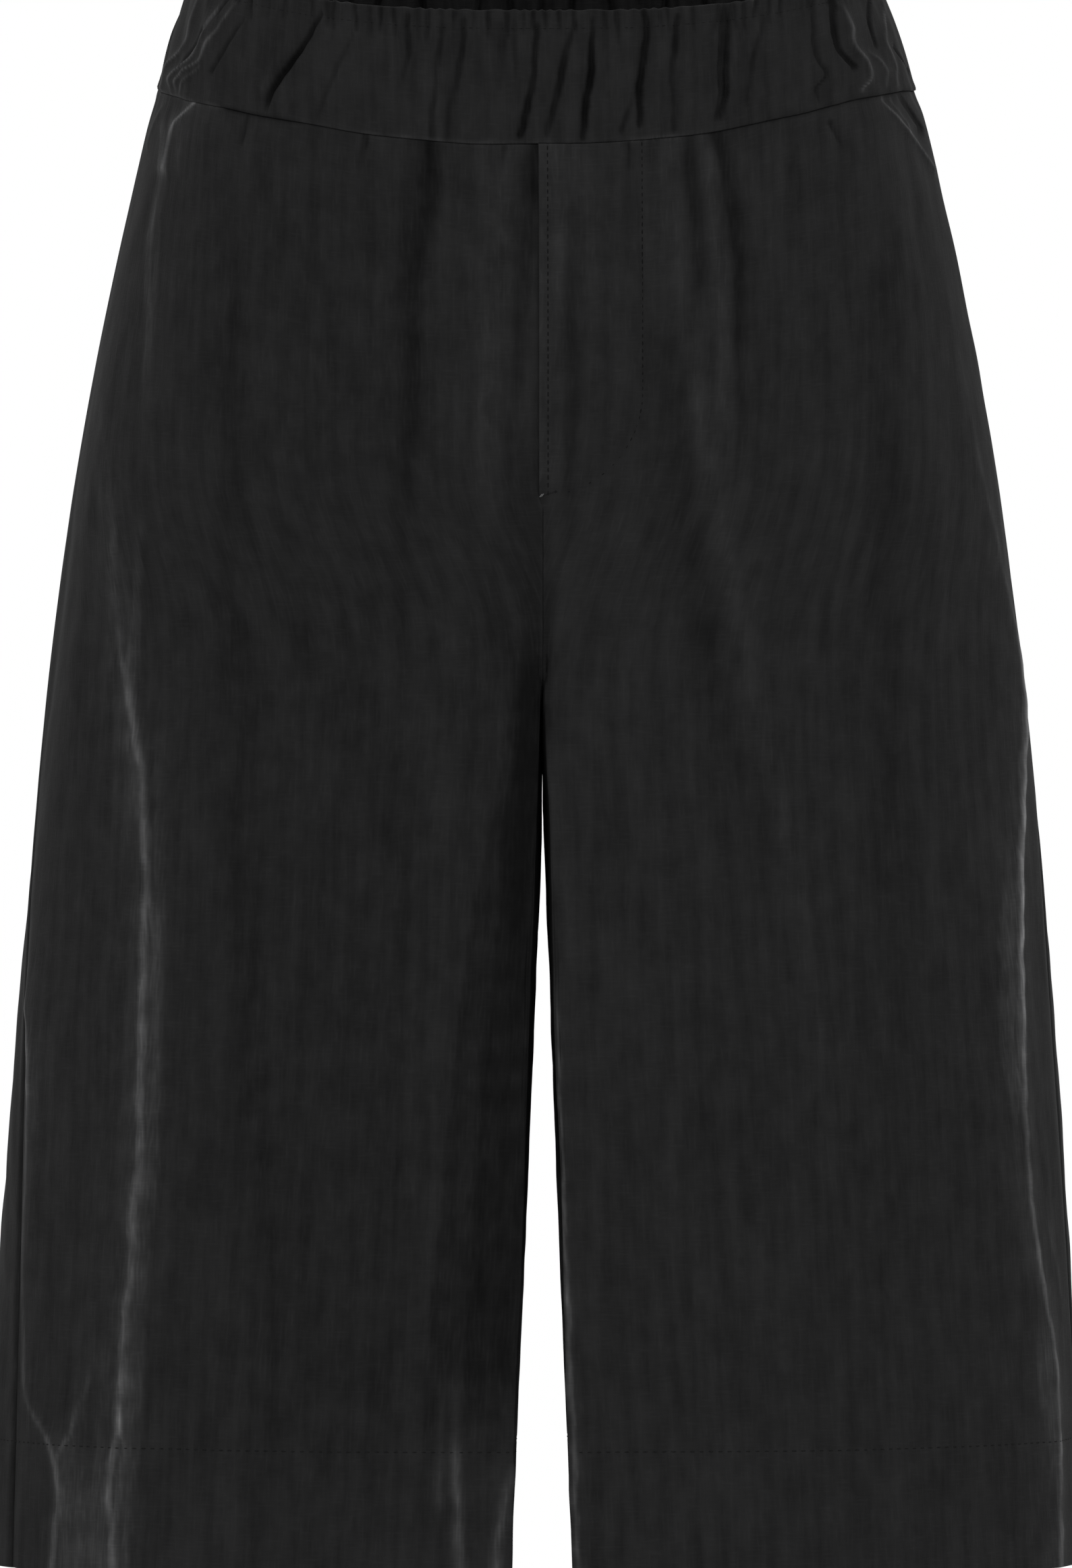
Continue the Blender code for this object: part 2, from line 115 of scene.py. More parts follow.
def bezier(knots, t):
    a, b, c, d = (np.array(knot, dtype=float) for knot in knots)
    t = np.asarray(t)[:, None]
    return (1 - t) ** 3 * a + 3 * t * (1 - t) ** 2 * b + 3 * t * t * (1 - t) * c + t ** 3 * d


def seamDepth(level, start, reach, inseam):
    # y of a centre seam: straight down to start, then a quarter of an ellipse to the crotch
    share = min(max((start - level) / (start - form["crotch"]), 0.0), 1.0)
    return reach + (inseam - reach) * (1.0 - math.sqrt(1.0 - share * share))


def cornerCurve(gap, width, inseam, seamY, reach):
    # from the centre seam, or below the crotch the inseam, to the flat of the front or back
    full, steps = form["cornerFull"], form["curveSteps"]
    knots = ((gap, inseam), (gap, inseam + full * (reach - inseam)),
             (gap + (1 - full) * width, reach), (gap + width, reach))
    t = np.linspace(0.0, 1.0, steps)
    run = abs(bezier(knots, t)[:, 1] - inseam)
    start = min(float(np.interp(abs(seamY - inseam), run, t)), 1.0 - 1.0 / steps)
    points = bezier(knots, np.linspace(start, 1.0, steps))
    away = 1.0 - t
    points -= away[:, None] ** 2 * (points[0] - np.array((gap, seamY)))
    return points


def ringAt(level, side):
    # outline of one leg at a level, from the centre front round the side to the centre back
    key = (round(level, 4), side)
    if key in ringStore:
        return ringStore[key]
    at = {name: smoothAt(formRows[:, 0], formRows[:, k], level)
          for k, name in enumerate(form["names"])}
    at = SimpleNamespace(**at)
    gap, width, seamAhead = ((at.leftGap, at.leftCorner, at.leftSeam) if side > 0 else
                             (at.rightGap, at.rightCorner, at.rightSeam))
    frontY = seamDepth(level, form["frontFork"], -at.front, at.inseam)
    backY = seamDepth(level, form["backFork"], at.back, at.inseam)
    steps, edge = form["curveSteps"], at.halfWidth
    front = cornerCurve(gap, width, at.inseam, frontY, -at.front)
    back = cornerCurve(gap, at.backCorner, at.inseam, backY, at.back)[::-1]
    start, end = front[-1], back[0]
    t = np.linspace(0.0, 1.0, steps)
    ahead = bezier((start, (start[0] + form["frontFull"] * (edge - start[0]), start[1]),
                    (edge, -form["sideFull"] * at.front), (edge, 0.0)), t)
    behind = bezier(((edge, 0.0), (edge, form["sideFull"] * at.back),
                     (end[0] + form["backFull"] * (edge - end[0]), end[1]), end), t)
    points = np.concatenate((front, ahead[1:], behind[1:], back[1:]))
    stride = np.diff(points, axis=0)
    length = np.concatenate(((0.0,), np.cumsum(np.hypot(stride[:, 0], stride[:, 1]))))
    tangent = np.gradient(points, length, axis=0)
    heading = np.unwrap(np.arctan2(tangent[:, 1], tangent[:, 0]))
    turned = np.concatenate(((0.0,), np.cumsum(np.abs(np.diff(heading)))))
    outer, widest = slice(steps - 1, 3 * steps - 2), 2 * steps - 2
    slope = 1e-6 * np.arange(len(points))
    ringStore[key] = SimpleNamespace(
        points=points, length=length, tangent=tangent, form=at,
        measure=length + form["turnWeight"] * turned,
        sideAt=float(np.interp(-seamAhead, points[outer, 1], length[outer])),
        frontFace=length[steps - 1], backFace=length[-steps],
        frontReach=np.maximum.accumulate(points[:widest + 1, 0]) + slope[:widest + 1],
        frontLength=length[:widest + 1],
        backReach=np.maximum.accumulate(points[widest:, 0][::-1]) + slope[:len(points) - widest],
        backLength=length[widest:][::-1])
    return ringStore[key]


def stationOf(ring, x, back):
    # how far round the outline a place lies that is x from the middle plane
    if back:
        return np.interp(np.abs(x), ring.backReach, ring.backLength)
    return np.interp(np.abs(x), ring.frontReach, ring.frontLength)


def stretchOut(ring, low, high, count):
    ends = np.interp((low, high), ring.length, ring.measure)
    return np.interp(np.linspace(ends[0], ends[1], count), ring.measure, ring.length)


def levelPoints(ring, stations, level, side):
    # plain points and level outward directions; side is 1 on the wearer's left, -1 on the right
    place = np.column_stack([np.interp(stations, ring.length, ring.points[:, k]) for k in (0, 1)])
    lead = np.column_stack([np.interp(stations, ring.length, ring.tangent[:, k]) for k in (0, 1)])
    ahead = np.minimum(place[:, 1], 0.0) / ring.form.front
    inBand = min(max(level - form["bandSeam"], 0.0) / form["bandHeight"], 1.0)
    bow = np.where(side > 0, *form["bow"]) * (1.0 - (1.0 - form["bowAtTop"]) * inBand)
    ahead *= 1.0 - bow * np.clip(place[:, 0] / ring.form.halfWidth, 0.0, 1.0) ** 2
    behind = np.maximum(place[:, 1], 0.0) / ring.form.back
    z = level + ahead * ring.form.drop + behind * ring.form.rise - originHeight
    out = np.column_stack((lead[:, 1], -lead[:, 0], np.zeros(len(lead))))
    return np.column_stack((place, z)), out / np.linalg.norm(out, axis=1, keepdims=True)


def ease(t):
    t = np.clip(t, 0.0, 1.0)
    return t * t * (3.0 - 2.0 * t)


def step(value, ends):
    # a soft step from 0 at the first end to 1 at the second
    return ease((value - ends[0]) / (ends[1] - ends[0]))


def bell(t):
    return np.exp(-t ** 2)


def lean(points):
    # the inseams lie a little to the wearer's left, the left front's inner edge to the right
    x, y, height = points[..., 0], points[..., 1], points[..., 2] + originHeight
    levels, depths = form["leanLevels"], form["leanDepths"]
    start, full = depths["full"]
    deep = np.clip((y - start) / (full - start), 0.0, 1.3) * step(y, depths["fade"])
    amount = form["lean"] + form["leanMore"] * step(height, levels["more"])
    amount = amount * deep * step(height, levels["fade"]) * bell(x / form["leanReach"])
    edge = form["edgeLean"] * step(height, levels["edge"]) * (x > 0) * step(y, depths["edge"])
    points[..., 0] = x + amount - edge * bell(x / form["edgeReach"])
    return points


def between(value, low, high, soft):
    return ease((value - low) / soft + 1.0) * ease((high - value) / soft + 1.0)


print("folds: gathers of the band and creases of the legs")

# Every fold is its kind, rise, tone, reach to the viewer's left and to the right, how softly it
# ends, and then the points of its path. A crease is a narrow slit that thins out at its ends, an
# edge stands out to a sharp crest, a ridge is round, a trough is a ridge turned in, and a flat is
# an even stretch with soft sides. Tone is painted light and shade: above 0 it paints the linen
# paler, a painted highlight on crests and lit stretches, and below 0 darker, painted shade in
# creases, troughs and hollows. A path runs down through (distance from the middle plane,
# height) and may add how strong the fold is there, 1 if it says nothing: on the legs the height is
# over the hem, on the band it is the share of the band's height.
bandFolds = {
    "front": (
        ("edge", 1.3, 1.5, 3.2, 2.4, 0.05, (-124.4, .75, .6), (-126.1, .6), (-128.1, .44),
         (-132.1, .32), (-135.6, .21), (-137.6, .05)),
        ("edge", 1.3, 1.5, 3.2, 2.2, 0.05, (-115.9, .8, .5), (-119.6, .65), (-123.3, .47),
         (-127, .31), (-132.8, .2), (-135, .12), (-134.2, .03, .6)),
        ("edge", 1.1, 1.2, 3, 2, 0.05, (-110.4, .83, .4), (-115.6, .66, .7), (-120.3, .49),
         (-123.5, .33), (-130.7, .19), (-133, .12), (-132.5, .04, .5)),
        ("edge", 0.8, 0.9, 1.6, 1.2, 0.05, (-123.5, .28, .5), (-128.2, .18), (-130.7, .12),
         (-131.2, .04, .6)),
        ("crease", 1.3, -0.6, 2, 2, 0.05, (-113.2, .86, .6), (-121.8, .56), (-125.2, .4),
         (-130.6, .25, .7)),
        ("crease", 0.9, -0.5, 1.6, 1.6, 0.05, (-107.5, .72, .6), (-115, .46), (-119.5, .27)),
        ("flat", 0.2, 0.28, 3, 5, 0.1, (-122, .93, .7), (-127, .78), (-131, .58, .6)),
        ("crease", 2.4, -1.06, 4.5, 1.8, 0.05, (-79.6, .88, .5), (-84.5, .68), (-89, .53, 1.2),
         (-93.4, .37, 1.4), (-97.3, .23, 1.2), (-99, .13), (-99.3, .07, .4)),
        ("ridge", 0.9, 0.24, 2, 1.8, 0.1, (-93.5, .54, .4), (-97.5, .35), (-100.5, .22)),
        ("crease", 0.7, -0.26, 3.2, 1.4, 0.1, (-68.9, .75, .5), (-73.3, .5), (-77.8, .26, .8),
         (-80, .13), (-80.8, .07, .7)),
        ("crease", 0.9, -0.59, 1.4, 1.4, 0.06, (-48.1, .93), (-48.3, .74), (-48.7, .59, .8),
         (-50.1, .48, .4)),
        ("crease", 0.9, -0.46, 1.8, 1.4, 0.06, (-35.6, .86, .6), (-37.2, .67), (-38.4, .45, .6),
         (-39.7, .26, 1.1), (-40.2, .04)),
        ("crease", 1.2, -0.59, 2.2, 1.6, 0.06, (-28, .91, .7), (-28.9, .71), (-30.1, .51, .9),
         (-30.6, .4, .4)),
        ("crease", 0.6, -0.26, 1.6, 1.4, 0.06, (-31.3, .47, .4), (-33.6, .25), (-34.6, .02)),
        ("trough", 0.9, -0.3, 2, 1.4, 0.08, (-14.4, .88), (-14.5, .61), (-15.2, .47, .6)),
        ("crease", 0.6, -0.26, 1.2, 1.2, 0.08, (-9.9, .88), (-9.6, .53, .6)),
        ("crease", 1.7, -0.79, 1.8, 1.4, 0.05, (-1.6, .88, .7), (-2.3, .62, .8), (-4, .41),
         (-5.8, .25, 1.3), (-8, .07)),
        ("crease", 1.6, -0.59, 2.8, 1.6, 0.05, (11.4, .89, .5), (9.1, .7), (7.3, .54, 1.2),
         (5.5, .34), (3.2, .2), (1.2, .08, .8)),
        ("crease", 2.2, -1.06, 1.5, 1.6, 0.05, (18.7, .91, .4), (17.9, .64), (16.8, .42, 1.3),
         (15.5, .23, 1.1), (15, .05, .6)),
        ("crease", 2, -0.85, 2, 2.6, 0.05, (37.4, .97, .8), (38.5, .81), (36.9, .6, 1.2),
         (35.3, .4, 1.2), (34.9, .12, .8)),
        ("crease", 1.2, -0.59, 1.6, 1.4, 0.05, (33.8, .35, .3), (30.8, .21, .8), (28.8, .09, .7)),
        ("crease", 1.4, -0.59, 3, 1.4, 0.05, (49.6, .92), (48.6, .71, 1.2), (46.9, .54, .8),
         (47.4, .35, .5), (48, .06, .7)),
        ("flat", -1, -0.62, 2.6, 2.2, 0.06, (67.3, .97, .7), (66.6, .7), (66.2, .49), (65.8, .28),
         (64.2, .12, .6)),
        ("crease", 1.2, -0.4, 1.4, 1.2, 0.05, (69.3, .91, .6), (67.8, .7), (67.4, .48), (67, .27),
         (64.2, .11, .6)),
        ("crease", 0.8, -0.4, 2.4, 1.8, 0.08, (81.2, .82, .6), (77.4, .56), (74.1, .19, .5)),
        ("crease", 1.1, -0.5, 2.6, 1.8, 0.05, (99.3, .87, .8), (99.7, .57), (101.3, .4),
         (103.6, .25, .9), (100.8, .19, .8), (101.1, .07, .5)),
        ("edge", 1.4, 1.2, 1.8, 2.6, 0.05, (110.1, .81, .4), (113, .61), (114, .46), (118.6, .31),
         (120.3, .22), (119.1, .12, .9), (117.1, .08, .6)),
        ("flat", -1.2, -0.9, 2.4, 2, 0.06, (107.4, .97, .8), (107.8, .61), (109.9, .42),
         (114.6, .29, .7)),
        ("edge", 1.3, 1.15, 2, 2.6, 0.05, (126.2, .73, .5), (126.5, .53), (126.5, .43), (129, .31),
         (130.7, .2), (130.4, .08, .8)),
        ("flat", -0.9, -0.8, 2, 1.8, 0.06, (121.4, .92, .7), (121.6, .55), (123, .42, .7)),
        ("edge", 0.9, 0.9, 1.6, 2, 0.04, (119.8, .38, .5), (123.7, .31), (126.7, .2),
         (126.8, .08, .6)),
        ("crease", 1.1, -0.6, 1.5, 1.5, 0.05, (130.6, .35, .8), (133.6, .25), (137.2, .16, .6)),
    ),
    "back": (
        ("crease", 2.2, -0.9, 3.4, 3, 0.12, (-117, 1), (-126, .55), (-134, 0)),
        ("crease", 2, -0.7, 3, 3.2, 0.12, (-112, .95), (-119, .5), (-126, .05)),
        ("crease", 2.6, -0.9, 3.2, 3, 0.12, (-105.4, .92), (-111, .5), (-115, .08)),
        ("crease", 1.7, -0.7, 2.8, 2.8, 0.14, (-94, .95), (-98, .62), (-101, .4)),
        ("crease", 1.8, -0.7, 3.2, 3, 0.14, (-85.4, .9), (-92, .55), (-98, .2)),
        ("crease", 2.8, -0.9, 3.2, 3.4, 0.12, (-78.7, .88), (-79.8, .5), (-83, .06)),
        ("crease", 1.6, -0.7, 2.6, 2.6, 0.14, (-67, .95), (-69, .6), (-68, .36)),
        ("crease", 2.4, -0.9, 3.2, 3, 0.12, (-51.9, .9), (-57, .52), (-63.7, .06)),
        ("crease", 2.6, -0.9, 2.8, 3, 0.14, (-39.1, .86), (-41, .48), (-41.5, .1)),
        ("crease", 1.5, -0.7, 2.6, 2.4, 0.14, (-29.5, .95), (-31, .62)),
        ("crease", 2.1, -0.7, 3, 2.8, 0.12, (-17.5, .88), (-19, .5), (-23.8, .08)),
        ("crease", 2.8, -0.9, 2.8, 3.2, 0.12, (-7.1, .9), (-8, .5), (-6.1, .06)),
        ("crease", 1.6, -0.7, 2.6, 2.6, 0.14, (4.5, .95), (5.2, .6), (3.4, .3)),
        ("crease", 2.5, -0.9, 3, 3, 0.12, (15.8, .88), (15.6, .5), (14, .06)),
        ("crease", 1.9, -0.7, 2.8, 3, 0.14, (27, .9), (29, .55), (32.7, .2)),
        ("crease", 1.5, -0.7, 2.6, 2.6, 0.14, (39.8, .96), (41.5, .7), (41, .5)),
        ("crease", 2.7, -0.9, 3.2, 3, 0.12, (49.4, .88), (51, .5), (51.2, .06)),
        ("crease", 2.3, -0.9, 3, 3, 0.12, (60.3, .9), (65, .55), (72.1, .08)),
        ("crease", 1.6, -0.7, 2.6, 2.8, 0.14, (75, .94), (78.5, .66), (80, .42)),
        ("crease", 2.7, -0.9, 3.4, 3, 0.12, (86.1, .88), (89, .5), (92.5, .06)),
        ("crease", 2, -0.7, 2.8, 3, 0.14, (95.7, .92), (101, .6), (108.9, .15)),
        ("crease", 2.5, -0.9, 3, 3, 0.12, (104.8, .9), (114, .5), (122.4, .08)),
        ("crease", 2.2, -0.9, 3.4, 3, 0.12, (115.6, 1), (125, .55), (133.2, 0)),
    ),
}
legFolds = {
    "front": (
        # positive tones paint highlights along crests, negative ones paint shade in troughs,
        # creases and beside the gap between the legs
        # under the band
        ("trough", 2.4, -0.55, 6, 3.5, 60, (-40.6, 520), (-40.2, 506), (-41.4, 496), (-45.2, 482),
         (-47, 470), (-45.6, 447, .85), (-46.8, 422, .8), (-49.4, 396, .6), (-51, 372, .4)),
        ("flat", -0.6, -0.5, 2, 2, 14, (-2.2, 541), (-2.4, 520), (-3, 503, .8)),
        ("trough", 1.5, -0.4, 3.2, 1.9, 60, (-3.2, 521, .6), (-3.6, 505, 1.2), (-4.2, 489),
         (-5.2, 474, .75), (-7.5, 451, .6), (-9.5, 425, .5), (-12, 404, .3)),
        ("ridge", 0.9, 0.2, 6, 6, 40, (-14.5, 508), (-16.3, 471), (-20.2, 442), (-21.7, 413)),
        ("ridge", 0.8, 0.16, 8, 8, 26, (11.5, 514), (12, 496), (13, 478)),
        ("crease", 1.6, -0.8, 3, 3, 3, (-64.3, 522), (-64.8, 511, .4)),
        ("crease", 1.2, -0.4, 4, 3, 4, (-106, 530), (-109, 520)),
        ("crease", 1.2, -0.6, 3, 3, 3, (-41, 518), (-41, 508, .4)),
        ("crease", 1, -0.6, 3, 3, 3, (-14, 516), (-14.5, 510, .4)),
        ("ridge", 0.8, 0.06, 9, 6, 60, (-62, 505), (-66, 430), (-70, 380)),
        ("trough", 1.2, -0.4, 2.5, 3, 26, (53.5, 520), (54.1, 506), (56.9, 476, .7)),
        ("trough", 2, -0.58, 2.2, 3.6, 50, (62.1, 523, 1.2), (64.5, 514), (68.3, 496),
         (70.7, 472, .8), (71.5, 433, .5)),
        ("ridge", 1, 0.26, 3.2, 3.6, 50, (58.8, 513), (61.2, 489), (64.2, 460), (65.1, 433, .7)),
        ("ridge", 1.2, 0.2, 4.5, 5, 60, (44.1, 517, .8), (49, 459), (55.6, 423), (62.2, 386),
         (69.6, 350), (77.5, 313, .9), (86.4, 277, .7), (93.1, 240, .5), (99.3, 203, .3)),
        ("trough", 1, -0.24, 6, 4, 50, (47.5, 432), (50.4, 398), (57.3, 357), (62.8, 323),
         (70.9, 289, .6)),
        ("flat", 0.2, 0.12, 5.5, 4.5, 12, (4.9, 541), (4.6, 459), (3.6, 398)),
        ("trough", 0.6, -0.26, 2.4, 2.4, 40, (11, 472), (10.9, 432), (9, 398)),
        ("crease", 1, -0.6, 3, 3, 3, (31, 517), (32, 509, .4)),
        ("crease", 1.4, -0.7, 3, 3, 3, (106, 526), (109, 519, .4)),
        # the wearer's right side, down to the hem
        ("edge", 1.4, 1.9, 10, 10, 5, (-126.2, 536), (-129.8, 532), (-132.4, 529, .95),
         (-134, 525, .85), (-135.2, 520, .6), (-136.4, 512, .5)),
        ("edge", 0.5, 0.5, 3, 3, 5, (-130, 526, .6), (-131, 518), (-131.6, 510, .6)),
        ("flat", 0.4, 0.26, 5, 3.4, 20, (-136.5, 508, .8), (-139.2, 494), (-140.2, 476),
         (-140.6, 461, .8), (-142.4, 434, .6), (-142.4, 404, .4)),
        ("edge", 0.8, 0.6, 3, 3.6, 5, (-136.9, 537, .7), (-139, 532), (-141, 528),
         (-143, 522, .8)),
        ("flat", 0.2, 0.16, 9, 6, 50, (-160.4, 415), (-156.5, 385)),
        ("edge", 2.4, 1.3, 12, 6, 50, (-154.6, 360, .4), (-152.1, 336, .6), (-147.6, 311, .7),
         (-143.6, 282, 1.05), (-142.4, 255, 1.05), (-143.2, 228, .95), (-144, 203, .95),
         (-144, 179), (-144.4, 154, 1.05), (-146.3, 130), (-148.5, 105, .9), (-150.2, 81, 1),
         (-151.6, 61, 1.05), (-153.6, 44), (-155.6, 32, .9), (-155, 16), (-154.3, 1, 1.15)),
        ("flat", 0.3, 0.42, 3.5, 3.5, 14, (-137, 523, .8), (-138, 511), (-141.7, 490),
         (-143, 469, .8), (-142.4, 449, .5)),
        ("flat", 0.2, 0.36, 2.5, 2.5, 8, (-143.5, 527, .8), (-146.5, 513), (-149.5, 500, .6)),
        ("flat", 0.2, 0.42, 3, 3, 24, (-146.2, 374, .4), (-146.6, 354), (-148, 329),
         (-148.4, 304, .7), (-147.5, 285, .4)),
        ("flat", 0.2, 0.24, 3, 3, 30, (-138.6, 296, .6), (-137.6, 255), (-138.4, 228),
         (-138.2, 190, .8), (-138.7, 160, .6)),
        ("flat", 0.2, 0.15, 8, 8, 50, (-153, 345), (-150, 305)),
        ("flat", 0.3, 0.36, 4, 4, 20, (-140, 225, .6), (-141.4, 140), (-145, 98, .9),
         (-147, 61, .9), (-149, 36), (-152, 9)),
        ("edge", 0.6, 0.35, 2.5, 2.5, 6, (-142, 250, .5), (-139.7, 238), (-138.8, 231),
         (-140.5, 221, .5)),
        ("edge", 0.8, 0.55, 2, 2, 8, (-151.6, 56), (-150.6, 46), (-151.6, 36), (-154, 18, .6)),
        ("edge", 1.6, 1.1, 4, 12, 24, (-188, 230, .5), (-186.2, 204, 1.8), (-185.5, 180, 1.3),
         (-187.3, 145, .9), (-189.1, 110, .6), (-188.2, 78, .6), (-187, 60, .7), (-179, 46, .8),
         (-174.8, 32, .9), (-176.6, 10), (-177.4, 0)),
        ("trough", 0.5, -0.55, 1.6, 1.8, 30, (-191, 150, .6), (-191, 115), (-191.3, 62),
         (-193, 41), (-193.2, 0, 1.1)),
        ("edge", 1, 0.65, 4, 5, 12, (-161.2, 80, .25), (-163.7, 68, .5), (-168.2, 57), (-170, 50),
         (-173.7, 43), (-175.2, 34, .8)),
        ("flat", 0.6, 0.34, 12, 12, 24, (-165.5, 24), (-165.5, 0, 1.15)),
        ("trough", 1.2, -0.2, 6, 6, 60, (-112, 465), (-113.2, 414), (-114.4, 355), (-109.2, 313),
         (-110.2, 257), (-105.3, 216), (-106.8, 179), (-100.4, 135), (-97.5, 91), (-99.5, 45)),
        ("trough", 1, -0.1, 5, 5, 60, (-49.8, 325), (-52.2, 228), (-55.9, 130), (-57.1, 70)),
        ("flat", -0.4, -0.36, 3.5, 40, 26, (-8, 320, .5), (-12.5, 290, .8), (-24, 228), (-32, 155),
         (-37.6, 94), (-40, 62)),
        ("flat", -0.3, -0.34, 4, 22, 26, (-5, 316, .7), (-8.5, 290), (-16, 204), (-22, 130),
         (-25, 82)),
        ("flat", -0.2, -0.15, 16, 14, 40, (-15, 385, .5), (-15, 350), (-17, 300), (-20, 250, .5)),
        ("trough", 0.1, -0.62, 6.5, 2.5, 40, (-1.4, 374, .4), (-1.8, 352, .7), (-2.4, 329),
         (-2.2, 310, 1.1), (-3.2, 290), (-5, 269, .9), (-7.5, 245, .7), (-9, 222, .4)),
        ("trough", 0.1, -0.45, 2, 3, 30, (.8, 368, .5), (.8, 344), (.8, 325, 1.2), (.8, 300, .8)),
        ("ridge", 0.9, 0.85, 2, 2.4, 14, (-10.1, 42, .6), (-14.4, 23), (-17.5, 1)),
        ("ridge", 0.9, 0.85, 2.4, 2, 14, (-31.6, 62, .5), (-31.1, 32), (-29.1, 2)),
        ("ridge", 0.5, 0.45, 1.6, 1.6, 12, (-37.2, 64, .7), (-37, 28)),
        ("ridge", 0.8, -0.13, 46, 36, 60, (-78, 500), (-74, 240), (-72, 60)),
        # the wearer's left side
        ("flat", -0.8, -1.1, 4, 5, 5, (131.6, 541, .8), (135.6, 535), (140.3, 528, .8)),
        ("edge", 1.2, 1.6, 2.4, 2.8, 5, (126, 536, .6), (130.7, 531), (136.6, 524), (141.6, 518),
         (145.1, 513, .8)),
        ("edge", 0.7, 0.9, 1.8, 2, 4, (129.3, 536, .7), (135.3, 528, .8)),
        ("edge", 2.2, 1.45, 11, 6, 30, (154, 445, .12), (162, 400, .3), (169.3, 363, .5),
         (174, 339, .9), (175.4, 325, 1.1), (176.4, 305), (176.2, 289), (175.8, 253, 1.05),
         (175.6, 216), (176.6, 185, .9), (177.2, 170, .9), (178.8, 141), (184, 103), (188.2, 80),
         (190, 52, .9), (190, 30, .9), (190, 0)),
        ("flat", 0.3, 0.72, 3, 2.6, 20, (173.6, 352, .4), (175.2, 329), (175.8, 304), (175.8, 279),
         (175.4, 254), (175.2, 230), (175.2, 204, .8), (175.8, 180, .5)),
        ("flat", 0.3, 0.4, 5, 5, 14, (173, 262, .4), (170.8, 236), (170.4, 208), (171.2, 186),
         (174.3, 170, .5)),
        ("flat", 0.2, 0.1, 8, 9, 24, (180.4, 262), (180.6, 217), (181.3, 190), (183.6, 150),
         (187, 118), (191, 80)),
        ("flat", 0.2, 0.34, 6, 6, 16, (184, 78), (186, 60), (188.6, 42, .8)),
        ("edge", 0.5, 0.45, 3, 3, 12, (187, 122, .6), (190.5, 108), (193.5, 95, .7)),
        ("edge", 0.5, 1, 1.4, 1.8, 18, (6.4, 203, .6), (8.7, 153), (10.6, 105), (12.2, 69),
         (13.9, 34), (14.8, 0, .8)),
        ("trough", 0.5, -0.12, 5, 8, 20, (57.7, 202), (57.7, 162)),
        ("ridge", 0.9, 0, 20, 24, 60, (98, 410), (96, 250), (104, 60)),
        ("trough", 0.9, -0.16, 7, 8, 50, (124.9, 468), (123.4, 399), (123.8, 326), (128.1, 252),
         (130.6, 191, .7)),
    ),
    "back": (
        # positive tones paint highlights on the back's ridges, negative ones paint shade in
        # troughs and creases and darken the sides low down
        ("trough", 3.4, -0.4, 8, 3.5, 20, (-46, 552), (-47, 510), (-52, 460), (-60, 410)),
        ("trough", 2, -0.3, 4, 7, 16, (-78, 548), (-81, 520), (-86, 490)),
        ("crease", 1.4, -0.5, 3, 3, 6, (-22, 556), (-23, 548)),
        ("trough", 3.2, -0.4, 4, 9, 20, (34, 553), (36, 510), (41, 450), (48, 390)),
        ("trough", 1.5, -0.3, 3, 5, 12, (12, 556), (13, 540), (16, 520)),
        ("crease", 1.8, -0.5, 3, 3, 6, (66, 550), (67, 542)),
        ("trough", 2.4, -0.34, 5, 9, 24, (92, 545), (96, 500), (104, 435)),
        ("trough", 2.4, -0.34, 9, 5, 24, (-104, 543), (-109, 500), (-118, 440)),
        ("trough", 2, -0.2, 12, 9, 40, (-62, 430), (-66, 370), (-74, 300)),
        ("trough", 2, -0.2, 9, 12, 40, (48, 400), (54, 340), (62, 280)),
        ("ridge", 3.4, 0.22, 12, 18, 50, (-112, 330), (-116, 250), (-114, 160), (-110, 80),
         (-106, 0)),
        ("ridge", 3, 0.2, 18, 12, 50, (124, 340), (128, 240), (124, 120), (118, 0)),
        ("ridge", 3.2, 0.28, 14, 12, 40, (-168, 320), (-172, 240), (-176, 120), (-180, 0)),
        ("ridge", 2.8, 0.28, 12, 14, 40, (170, 300), (174, 200), (178, 90), (176, 0)),
        ("trough", 2.6, -0.22, 12, 14, 40, (66, 250), (62, 140), (56, 0)),
        ("trough", 2.2, -0.2, 12, 12, 40, (-52, 250), (-52, 120), (-46, 0)),
        ("ridge", 1.4, 0.12, 22, 22, 60, (-80, 400), (-82, 240), (-76, 60)),
        ("ridge", 1.2, 0.1, 22, 22, 60, (92, 410), (90, 250), (92, 60)),
        ("ridge", 1.4, 0.19, 4, 5, 20, (-28, 90), (-30, 40), (-26, 0)),
        ("ridge", 1.4, 0.19, 5, 5, 20, (140, 80), (142, 40), (146, 0)),
        ("flat", 0, -0.34, 36, 14, 40, (-190, 235), (-199, 150), (-203, 60), (-204, 0)),
        ("flat", 0, -0.34, 14, 30, 40, (190, 255), (199, 150), (203, 60), (204, 0)),
    ),
}
looseness = {
    # (width, height, amount) of the cloth's soft unevenness between its folds
    "legs": ((90, 420, 0.55), (46, 190, 0.28), (24, 60, 0.10), (60, 34, 0.07)),
    "band": ((26, 60, 0.26), (11, 34, 0.08)),
    "backBand": ((26, 60, 0.40), (10, 60, 0.50)),
    "wander": 0.20,        # how far a fold strays from its path, in millimetres
}


def readyFolds(table, side=0):
    # the folds of one side (of both, where side is 0), each with a finely drawn path
    ready = []
    for number, (kind, rise, tone, left, right, soft, *path) in enumerate(table):
        if side * path[0][0] < 0:
            continue
        xs, heights, strong = np.array([(*point, 1.0)[:3] for point in path], dtype=float)[::-1].T
        fine = np.linspace(heights[0], heights[-1], 12 * len(path))
        ready.append(SimpleNamespace(
            kind=kind, rise=rise, tone=tone, left=left, right=right, soft=soft, number=number,
            low=heights[0], high=heights[-1], heights=fine,
            strong=np.interp(fine, heights, strong),
            xs=np.array([smoothAt(heights, xs, h) for h in fine])))
    return ready


